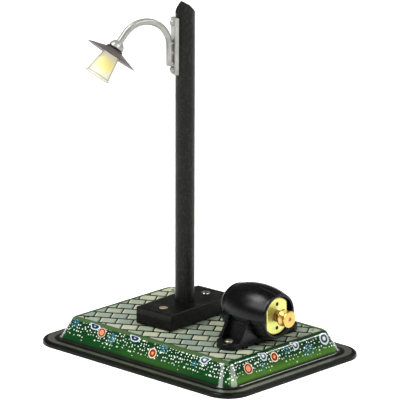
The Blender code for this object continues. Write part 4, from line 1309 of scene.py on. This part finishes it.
@dataclass
class LampHead:
    """Cap, shade, glass, socket and bulb about the lamp's own axis."""

    cap_radius: float = 3.2
    collar: float = 3.55
    shade_radius: float = 11.15
    shade_rim: float = 3.4
    shade_sheet: float = 0.3
    glass_top: float = 2.5
    glass_low: float = 13.9
    pleats: int = 28
    collar_low: float = -0.98
    glow: float = 8.8

    def place(self, bracket: Bracket, mast: Matrix) -> Matrix:
        """The lamp's frame, with Z back up the tube of a bracket on a mast."""
        seat = bracket.path(bracket.neck_low, 0)[-1]
        return mast @ Matrix.Translation(seat) @ Matrix.Rotation(-math.radians(bracket.tilt), 4, "Y")

    def cap(self) -> Mesh:
        """The dome over the shade."""
        hole = 1.46
        start = math.degrees(math.acos(hole / self.cap_radius))
        dome = arc((0, 0), self.cap_radius, start, 8, 16)
        lip = self.cap_radius + 0.05
        foot = [(lip, 0.3), (lip, 0.0), (2.7, 0.0), (2.7, 0.8), (hole, 1.6)]
        return lathe(dome + foot, 72, True)

    def shade(self) -> Mesh:
        """The conical shade, with faint pleats in its crown."""
        rim, wall = self.shade_rim, self.shade_sheet
        outer = [(2.3, -0.02), (2.95, -0.02), (2.95, -0.42), (self.collar - 0.12, -0.42)]
        outer += [(self.collar, -0.55), (self.collar, -1.0)]
        outer += [(self.collar + 0.15, -1.15), (5.5, -1.68), (8.5, -2.6), (self.shade_radius - 0.2, -rim)]
        edge = [(self.shade_radius, -rim - 0.08), (self.shade_radius, -rim - wall)]
        inner = [(self.shade_radius - 0.25, -rim - wall), (8.5, -2.6 - wall), (5.5, -1.68 - wall)]
        inner += [(self.collar - 0.3, -1.25 - wall), (2.3, -1.25 - wall)]
        steps = self.pleats * 6
        rings = []
        for radius, height in outer + edge + inner:
            ring = []
            for k in range(steps):
                angle = 2 * math.pi * k / steps
                crown = max(0.0, 1 - max(0.0, radius - self.collar) / 3.5) * (radius > 3.0)
                lift = 0.075 * crown * math.cos(self.pleats * angle)
                r = radius + lift * 0.7
                ring.append((r * math.cos(angle), r * math.sin(angle), height + lift * 0.4))
            rings.append(ring)
        return loft(rings, True)

    def glass(self) -> Mesh:
        """The frosted glass with its beaded mouth."""
        top, low = -self.glass_top, -self.glass_low
        outer = [(2.5, top), (3.2, top), (3.42, top - 0.08), (3.5, top - 0.3), (4.3, -8.0)]
        outer.append((5.05, low + 0.95))
        bead = arc((5.1, low + 0.42), 0.42, 100, -100, 10)
        inner = [(4.6, low + 0.1), (4.5, low + 0.9), (3.8, -8.0), (3.05, top - 0.75), (2.5, top - 0.5)]
        return lathe(outer + bead + inner, 72, True)

    def build(
        self, maker: Maker, finishes: Finishes, bracket: Bracket, mast: Matrix
    ) -> None:
        """Make the lamp head.

        Args:
            maker: Places the pieces and keeps count.
            finishes: Every finish by name.
            bracket: The bracket that holds it.
            mast: The mast's frame.
        """
        place = self.place(bracket, mast)
        grey, dark, frost = finishes["silver_paint"], finishes["shade"], finishes["frosted"]
        maker.piece("domed_cap", self.cap(), grey, Body.MAST, "grey_cast", ["lamp_cap"], place)
        shade = self.shade()
        # the collar faces under the cap take a near-black finish: painted shade beneath the cap's lip
        for face in shade.faces:
            face.material_index = int(face.calc_center_median().z > self.collar_low)
        maker.piece(
            "conical_shade", shade, [dark, finishes["collar"]], Body.MAST, "shade_enamel",
            ["lamp_shade"], place,
        )
        maker.piece(
            "frosted_lamp_glass", self.glass(), frost, Body.MAST, "frosted_glass", ["lamp_glass"],
            place,
        )
        thread = []
        for k in range(8):
            level = -0.75 - 0.36 * k
            thread += [(1.2, level), (1.08, level - 0.18)]
        base = [(0, -0.6), (1.1, -0.6)] + thread + [(1.2, -3.7), (0, -3.7)]
        maker.piece(
            "bulb_thread", lathe(base, 40), finishes["brass"], Body.MAST, "brass", ["bulb_base"], place
        )
        barrel = [(0, 0.5), (1.8, 0.5), (2.0, 0.3), (2.0, -3.2), (1.9, -3.4), (1.5, -3.4)]
        barrel += [(1.5, -0.3), (0, -0.3)]
        maker.piece(
            "lamp_holder", lathe(barrel, 48), finishes["brass"], Body.MAST, "brass", ["bulb_socket"],
            place,
        )
        envelope = [(0, -4.0), (1.1, -4.0), (1.15, -4.4), (1.3, -5.0)] + arc((0, -7.0), 1.9, 42, -90, 14)
        maker.piece(
            "small_bulb", lathe(envelope, 40), finishes["bulb"], Body.MAST, "bulb_glow",
            ["bulb_glass"], place,
        )


# ---------------------------------------------------------------- dynamo


@dataclass
class DynamoHousing:
    """The moulded housing: a barrel split at the seam, on a saddle with two lugs."""

    rear: float = 16.6
    front: float = 42.6
    radius: float = 11.25
    widest: float = 31.0
    bow: float = 33.0
    rear_round: float = 4.0
    front_round: float = 0.7
    opening: float = 8.05
    seam: float = 22.3
    seam_gap: float = 0.11
    saddle: tuple[float, float] = (24.6, 36.6)
    wall: float = 1.3
    foot_half: float = 16.6
    top_half: float = 11.6
    core: tuple[float, float] = (13.0, 10.2)
    lug_half: float = 21.4
    lug_thick: float = 2.5
    lug_low: float = 11.3
    screw_offset: float = 17.1
    screw_tip: float = 7.0
    web_round: float = 0.18
    ridge_turn: float = 10.5
    axis: Vector = field(init=False)

    def __post_init__(self) -> None:
        """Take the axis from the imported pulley."""
        pulley = middle("pulley")
        self.axis = Vector((0, pulley.y, pulley.z))

    def barrel_radius(self, x: float) -> float:
        """The barrel's radius at a place along its axis."""
        return self.radius - self.bow + math.sqrt(self.bow**2 - (x - self.widest) ** 2)

    def barrel(self) -> Mesh:
        """The whole barrel as a solid."""
        front, rear = self.front - self.front_round, self.rear + self.rear_round
        points = [(0, self.front)]
        lip = self.barrel_radius(front) - self.front_round
        points += arc((lip, front), self.front_round, 90, 0, 6)
        for k in range(1, 30):
            x = front + (rear - front) * k / 30
            points.append((self.barrel_radius(x), x))
        back = self.barrel_radius(rear) - self.rear_round
        points += arc((back, rear), self.rear_round, 0, -90, 14)
        points.append((0, self.rear))
        return moved(lathe(points, 120), along_x())

    def cavity(self) -> Mesh:
        """The hollow for the motor, with a rounded mouth."""
        r, mouth = self.opening, self.front
        points = [(0, mouth + 3), (r + 1.0, mouth + 3), (r + 0.45, mouth + 0.02), (r + 0.12, mouth - 0.15)]
        points += [(r, mouth - 0.5), (r, 38.1), (9.6, 36.6), (9.6, 26.0), (r, 24.5), (r, 20.1)]
        points += [(r - 2, 18.1), (0, 18.1)]
        return moved(lathe(points, 96), along_x())

    def slope_slab(self, halves: tuple[float, float], ends: tuple[float, float], edge: float) -> Mesh:
        """A slab across the axis with sloping sides.

        Args:
            halves: Its half widths at the foot and at the seam.
            ends: Where it starts and stops along the axis.
            edge: How much its edges are rounded.

        Returns:
            The mesh.
        """
        foot = self.lug_low + self.lug_thick - 0.6 - self.axis.z
        top = self.seam - self.seam_gap - self.axis.z
        outline = [(-halves[0], foot), (halves[0], foot), (halves[1], top), (-halves[1], top)]
        blank = prism(outline, *ends, edge)
        stand = Matrix.Rotation(math.radians(90), 4, "Z") @ Matrix.Rotation(math.radians(90), 4, "X")
        return moved(blank, stand)

    def half_box(self, above: bool) -> Mesh:
        """A cutter for one side of the seam."""
        seam = self.seam - self.axis.z
        if above:
            return slab((0, -40, seam - self.seam_gap), (80, 40, 40))
        return slab((0, -40, -40), (80, 40, seam + self.seam_gap))

    def lug(self) -> Mesh:
        """The foot plate with full rounds at its ends."""
        low, high = self.saddle
        radius, centre = (high - low) / 2, (high + low) / 2
        reach = self.lug_half - radius
        outline = arc((centre, reach), radius, 0, 180, 32) + arc((centre, -reach), radius, 180, 360, 32)
        base = self.lug_low - self.axis.z
        return prism(outline, base, base + self.lug_thick, 0.3)

    def build(self, maker: Maker, finishes: Finishes) -> None:
        """Make both halves and the two screws.

        Args:
            maker: Places the pieces and keeps count.
            finishes: Every finish by name.
        """
        place = Matrix.Translation(self.axis)
        black = finishes["moulding"]
        ridge = self.parting_ridge()
        cover = worked(
            self.barrel(),
            [("UNION", ridge), ("DIFFERENCE", self.cavity()), ("DIFFERENCE", self.half_box(False))],
        )
        maker.piece(
            "moulded_cover", cover, black, Body.STAND, "black_plastic", ["dynamo_upper_cover"], place
        )
        low, high = self.saddle
        wall_halves = (self.foot_half, self.top_half)
        steps = [
            ("UNION", self.slope_slab(wall_halves, (low, low + self.wall), self.web_round)),
            ("UNION", self.slope_slab(wall_halves, (high - self.wall, high), self.web_round)),
            ("UNION", self.slope_slab(self.core, (low + 0.6, high - 0.6), 0.0)),
            ("UNION", self.lug()),
            ("DIFFERENCE", self.cavity()),
            ("DIFFERENCE", self.half_box(True)),
        ]
        for side in (-1, 1):
            spot = Matrix.Translation((self.widest, side * self.screw_offset, 0))
            steps.append(("DIFFERENCE", moved(rod(1.3, -20, -4, 32), spot)))
        spot = Matrix.Translation((self.widest, -7.0, 0))
        steps.append(("DIFFERENCE", moved(rod(0.9, -20, 0, 24), spot)))
        lower = worked(self.barrel(), steps)
        maker.piece(
            "moulded_saddle", lower, black, Body.STAND, "black_plastic", ["dynamo_lower_housing"],
            place,
        )
        seat = self.lug_low + self.lug_thick + 0.02
        for side, label in ((-1, "near"), (1, "far")):
            screw = SlottedScrew(1.8, 0.8, 1.0, 0.45, 0.4, 0.35 * side)
            spot = Matrix.Translation((self.widest, self.axis.y + side * self.screw_offset, 0))
            maker.piece(
                f"saddle_screw_{label}", screw.mesh(seat, self.screw_tip), finishes["dull_nickel"],
                Body.STAND, "bright_nickel", [f"dynamo_{label}_screw"], spot,
            )

    def parting_ridge(self) -> Mesh:
        """The faint raised line along the cover's crown, where the mould's halves met."""
        points = []
        for k in range(25):
            x = self.rear + 5 + (self.front - self.rear - 5.6) * k / 24
            points.append(Vector((x, 0, self.barrel_radius(x) - 0.02)))
        ridge = sweep(points, [0.15] * len(points), 8)
        return moved(ridge, Matrix.Rotation(math.radians(self.ridge_turn), 4, "X"))


@dataclass
class MotorFront:
    """The can's visible end and its bearing."""

    rear: float = 21.3
    front: float = 41.4
    radius: float = 7.75
    flat: float = 6.0
    sheet: float = 0.5
    hole_offset: float = 5.0
    hole_radius: float = 0.85
    bearing_hole: float = 2.2

    def outline(self, inset: float) -> list[tuple[float, float]]:
        """A round outline with two flats; X is up."""
        radius, flat = self.radius - inset, self.flat - inset
        edge = math.degrees(math.asin(flat / radius))
        return arc((0, 0), radius, -edge, edge, 28) + arc((0, 0), radius, 180 - edge, 180 + edge, 28)

    def build(self, maker: Maker, finishes: Finishes) -> None:
        """Make the can and its bush.

        Args:
            maker: Places the pieces and keeps count.
            finishes: Every finish by name.
        """
        pulley = middle("pulley")
        place = Matrix.Translation((0, pulley.y, pulley.z))
        can = prism(self.outline(0), self.rear, self.front)
        rim = [e for e in can.edges if min(v.co.z for v in e.verts) > self.front - HAIR]
        soften(can, rim, 0.45, 4)
        hollow = prism(self.outline(self.sheet), self.rear - 2, self.front - self.sheet)
        cuts = [("DIFFERENCE", hollow), ("DIFFERENCE", rod(self.bearing_hole, 30, 50, 48))]
        for side in (-1, 1):
            spot = Matrix.Translation((side * self.hole_offset, 0, 0))
            cuts.append(("DIFFERENCE", moved(rod(self.hole_radius, 30, 50, 32), spot)))
        can = worked(can, cuts)
        maker.piece(
            "drawn_motor_can", moved(can, along_x()), finishes["passivated"], Body.STAND,
            "yellow_zinc", ["motor_can"], place,
        )
        bush = [(0.95, 42.7), (1.15, 42.85), (2.0, 42.85), (2.2, 42.75), (2.4, 42.5), (2.4, 41.45)]
        bush += [(1.9, 41.45), (1.9, 39.6), (0.95, 39.6)]
        maker.piece(
            "bearing_bush", moved(lathe(bush, 64, True), along_x()), finishes["bronze"], Body.STAND,
            "bronze", ["front_bush"], place,
        )


@dataclass
class Pulley:
    """The turned brass belt pulley and the shaft."""

    rear: float = 44.3
    front: float = 48.4
    radius: float = 3.5
    root: float = 2.3
    flange: float = 0.8

    def build(self, maker: Maker, finishes: Finishes) -> None:
        """Turn the pulley and the shaft.

        Args:
            maker: Places the pieces and keeps count.
            finishes: Every finish by name.
        """
        pulley = middle("pulley")
        place = Matrix.Translation((0, pulley.y, pulley.z))
        front, rear, r = self.front, self.rear, self.radius
        mid = (front + rear) / 2
        groove = [(r - 0.06, front - self.flange), (self.root + 0.25, mid + 0.6), (self.root, mid + 0.35)]
        groove += [(self.root, mid - 0.35), (self.root + 0.25, mid - 0.6), (r - 0.06, rear + self.flange)]
        face = [(0.8, front - 0.12), (0.92, front), (r - 0.28, front), (r - 0.08, front - 0.08)]
        face.append((r, front - 0.25))
        back = [(r, rear + 0.2), (r - 0.2, rear), (1.05, rear)]
        profile = face + groove + back
        maker.piece(
            "turned_pulley", moved(lathe(profile, 96, True), along_x()), finishes["brass"],
            Body.ROTOR, "brass", ["pulley"], place,
        )
        tip = [(0, 48.2), (0.55, 48.2), (0.75, 48.0), (0.75, 20.4), (0.6, 20.2), (0, 20.2)]
        maker.piece(
            "ground_shaft", moved(lathe(tip, 48), along_x()), finishes["steel"], Body.ROTOR,
            "motor_steel", ["rotor_shaft"], place,
        )


# ---------------------------------------------------------------- studio


def bearing(azimuth: float, elevation: float) -> Vector:
    """The direction out to something round the lamp, from its angles in degrees."""
    a, e = math.radians(azimuth), math.radians(elevation)
    return Vector((math.sin(a) * math.cos(e), -math.cos(a) * math.cos(e), math.sin(e)))


@dataclass(frozen=True)
class SoftBox:
    """A rectangular light aimed at the lamp, in degrees, metres and watts."""

    name: str
    azimuth: float
    elevation: float
    reach: float
    size: tuple[float, float]
    power: float

    def build(self) -> None:
        """Hang the light."""
        data = bpy.data.lights.new(self.name, "AREA")
        data.shape = "RECTANGLE"
        data.size, data.size_y = self.size
        data.energy = self.power
        lamp = bpy.data.objects.new(self.name, data)
        bpy.context.scene.collection.objects.link(lamp)
        back = bearing(self.azimuth, self.elevation)
        lamp.location = Vector((0, 0, 0.06)) + back * self.reach
        lamp.rotation_euler = (-back).to_track_quat("-Z", "Y").to_euler()


@dataclass
class Studio:
    """A pale floor, soft lights and the camera."""

    target: Vector = field(default_factory=lambda: Vector((0.000335, 0.0, 0.063631)))
    azimuth: float = 43.304
    elevation: float = 16.196
    roll: float = 0.144
    distance: float = 1.7539
    lens: float = 388.62
    floor_half: float = 6.0
    floor_drop: float = 0.00005
    tray_shadow: tuple[float, float] = (52.0, 38.0)
    air: float = 0.1
    band: tuple[float, float] = (0.06, 0.13)
    lights: tuple[SoftBox, ...] = (
        SoftBox("left_box", -14, 44, 1.6, (0.9, 0.9), 14),
        SoftBox("right_box", 94, 41, 1.6, (1.05, 1.0), 16),
        SoftBox("top_box", 314, 62, 1.5, (0.55, 0.55), 12),
        SoftBox("side_fill", 159, 27, 1.6, (0.7, 0.75), 3),
        SoftBox("edge_strip", 158, 42, 1.6, (0.45, 0.2), 2.5),
    )

    def camera(self) -> None:
        """Put the camera in place."""
        data = bpy.data.cameras.new("studio_camera")
        data.lens = self.lens
        data.sensor_width = 36.0
        data.clip_start = 0.05
        data.clip_end = 50.0
        camera = bpy.data.objects.new("studio_camera", data)
        bpy.context.scene.collection.objects.link(camera)
        a, roll = math.radians(self.azimuth), math.radians(self.roll)
        back = bearing(self.azimuth, self.elevation)
        level = Vector((math.cos(a), math.sin(a), 0))
        right = level * math.cos(roll) + back.cross(level) * math.sin(roll)
        up = back.cross(right)
        turn = Matrix((right, up, back)).transposed().to_4x4()
        camera.matrix_world = Matrix.Translation(self.target + back * self.distance) @ turn
        bpy.context.scene.camera = camera

    def floor(self) -> None:
        """The pale floor, which glows a little as a lit table does, but not under the tray."""
        half = self.floor_half
        bm = bmesh.new()
        corners = ((-half, -half), (half, -half), (half, half), (-half, half))
        bm.faces.new([bm.verts.new((x, y, -self.floor_drop)) for x, y in corners])
        floor = bpy.data.objects.new("studio_floor", to_mesh(bm, "studio_floor"))
        bpy.context.scene.collection.objects.link(floor)
        sheet = Sheet("pale_floor")
        paper = sheet.noise(sheet.place(), 0.02, 2.0)
        colour = sheet.mix(paper, (0.93, 0.93, 0.93), (0.95, 0.95, 0.95))
        away = sheet.vector_math("LENGTH", sheet.place()) * MM
        glow = sheet.mix(away.ramp(0.5, 2.6), (0.5, 0.5, 0.5), (0.98, 0.98, 0.98))
        x, y, _ = sheet.split(sheet.place())
        past_tray = (abs(x) - self.tray_shadow[0]).most(abs(y) - self.tray_shadow[1])
        glow = sheet.mix(past_tray.ramp(0.0, 2.0), (0.0, 0.0, 0.0), glow)
        material = sheet.finish(
            Base_Color=colour, Roughness=0.9, Emission_Color=glow, Emission_Strength=1.0
        )
        floor.data.materials.append(material)
        floor.visible_diffuse = False

    def surroundings(self) -> None:
        """Dim air, with a pale band where the floor meets the walls."""
        world = bpy.data.worlds.new("studio_air")
        bpy.context.scene.world = world
        sheet = Sheet(world.name, world)
        height = sheet.split(sheet.signal(sheet.node("ShaderNodeTexCoord"), "Generated"))[2]
        band = height.ramp(self.band[1], self.band[0])
        strength = self.air + band * (1 - self.air)
        sockets = {"Color": WHITE, "Strength": strength}
        background = sheet.node("ShaderNodeBackground", None, sockets)
        output = sheet.node("ShaderNodeOutputWorld")
        sheet.tree.links.new(background.outputs[0], output.inputs["Surface"])

    def build(self) -> None:
        """Set the studio up."""
        self.camera()
        self.floor()
        for light in self.lights:
            light.build()
        self.surroundings()
        bpy.context.scene.view_settings.view_transform = "Standard"


# ---------------------------------------------------------------- the whole lamp


def make_finishes(lamp: Matrix) -> Finishes:
    """Mix every finish.

    Args:
        lamp: The lamp's frame, which places the glow in its glass.

    Returns:
        The finishes by name.
    """
    mast = middle("mast_foot_block")
    centre = (mast.x, mast.y, 0.0)
    chart = {
        "tin_print": PrintedTin(),
        "flange": Coating(
            "dark_flange_enamel", tone(8, 11, 5), tone(18, 22, 13), 0.34, 0.1, 0.0,
            cloud_size=7.0, grain_size=0.5, grain_depth=0.01, coat=0.05, shine=0.1,
        ),
        "tin_underside": Metal("lacquered_tin", tone(150, 148, 138), tone(104, 96, 78), 0.4, 0.2, 0.9),
        "block_wood": PaintedWood(
            "block_black_paint", centre, math.radians(3), (1.6, 0.06, 1.6),
            black=tone(2, 2, 2), bare=tone(25, 25, 17), shine=0.07, coat=0.2,
        ),
        "mast_wood": PaintedWood("mast_black_paint", centre),
        "silver_paint": Coating(
            "silver_grey_paint", tone(170, 170, 164), tone(148, 148, 142), 0.34, 0.12, 0.4,
            grain_size=0.25, grain_depth=0.012,
        ),
        "shade": Coating(
            "dark_shade_enamel", tone(82, 74, 72), tone(104, 94, 90), 0.4, 0.14, 0.2,
            cloud_size=2.5, grain_depth=0.015,
        ),
        # near-black collar under the cap: painted shade beneath the cap's lip
        "collar": Coating("collar_painted_shade", tone(16, 14, 14), tone(30, 26, 26), 0.4, shine=0.3),
        "frosted": LitGlass(
            "frosted_lit_glass", tuple(lamp @ Vector((0, 0, -LampHead.glow))),
            tuple(lamp @ Vector((0, 0, -LampHead.glass_low))), tuple(lamp.to_3x3() @ Vector((0, 0, 1))),
        ),
        "bulb": LitBulb(),
        "moulding": Coating(
            "black_moulding", tone(7, 7, 8), tone(14, 14, 16), 0.26, 0.14, 0.0,
            cloud_size=4.0, grain_size=0.4, grain_depth=0.02, speck=(0.06, 0.06, 0.06),
            speck_amount=0.4, shine=0.22,
        ),
        "nickel": Metal("bright_nickel_plate", tone(206, 202, 192), tone(150, 140, 116), 0.22),
        "aged_nickel": Metal("aged_nickel_plate", tone(176, 168, 132), tone(130, 120, 88), 0.46, 0.2, 0.6),
        "brass": Metal(
            "turned_brass", tone(212, 176, 98), tone(180, 138, 66), 0.3, marks=(8.0, 0.5, 0.5)
        ),
        "bronze": Metal("sintered_bronze", tone(140, 100, 58), tone(96, 66, 36), 0.45, 0.2),
        "passivated": Metal(
            "yellow_passivation", tone(222, 222, 132), tone(200, 190, 64), 0.36, 0.14, 0.7,
            (0.4, 2.0, 2.0),
        ),
        "dull_nickel": Metal("dull_nickel_plate", tone(158, 152, 128), tone(104, 96, 68), 0.4, 0.2, 0.9),
        "steel": Metal("ground_steel", tone(132, 122, 108), tone(98, 88, 74), 0.42),
        "copper": Metal("copper_winding", tone(206, 118, 70), tone(150, 78, 44), 0.32, marks=(5, 5, 5)),
        "ferrite": Coating("grey_ferrite", tone(60, 58, 56), tone(76, 73, 70), 0.6),
        "ivory": Coating("ivory_end_cap", tone(226, 218, 190), tone(212, 202, 170), 0.45),
        "insulation": Coating("lead_sleeve", tone(30, 30, 32), tone(48, 46, 46), 0.5),
    }
    return {name: finish.build() for name, finish in chart.items()}


KEPT: dict[str, tuple[str, ...]] = {
    "nickel": ("foot_near_nut", "foot_far_nut", "dynamo_near_nut", "dynamo_far_nut"),
    "ivory": ("motor_end_cap",),
    "bronze": ("rear_bush",),
    "ferrite": ("magnet_upper", "magnet_lower"),
    "copper": ("brush_upper", "brush_lower", "winding_1", "winding_2", "winding_3", "commutator"),
    "brass": ("terminal_upper", "terminal_lower"),
    "steel": ("rotor_core",),
    "insulation": ("lamp_lead_lower", "lamp_lead_upper"),
}


def main() -> None:
    """Build the lamp's looks in order."""
    logging.basicConfig(level=logging.INFO, format="%(message)s")
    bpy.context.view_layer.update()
    maker = Maker()
    studio = Studio()
    mast, bracket, head = Mast(), Bracket(), LampHead()
    mast_place = mast.place()
    lamp_place = head.place(bracket, mast_place)
    finishes = make_finishes(lamp_place)
    studio.build()
    PressedTray().build(maker, finishes)
    MastFoot().build(maker, finishes)
    mast.build(maker, finishes)
    bracket.build(maker, finishes, mast_place)
    head.build(maker, finishes, bracket, mast_place)
    DynamoHousing().build(maker, finishes)
    MotorFront().build(maker, finishes)
    Pulley().build(maker, finishes)
    for finish, nodes in KEPT.items():
        for node in nodes:
            maker.dress(node, finishes[finish])
    LOG.info("%d pieces made", maker.made)


if __name__ == "__main__":
    main()
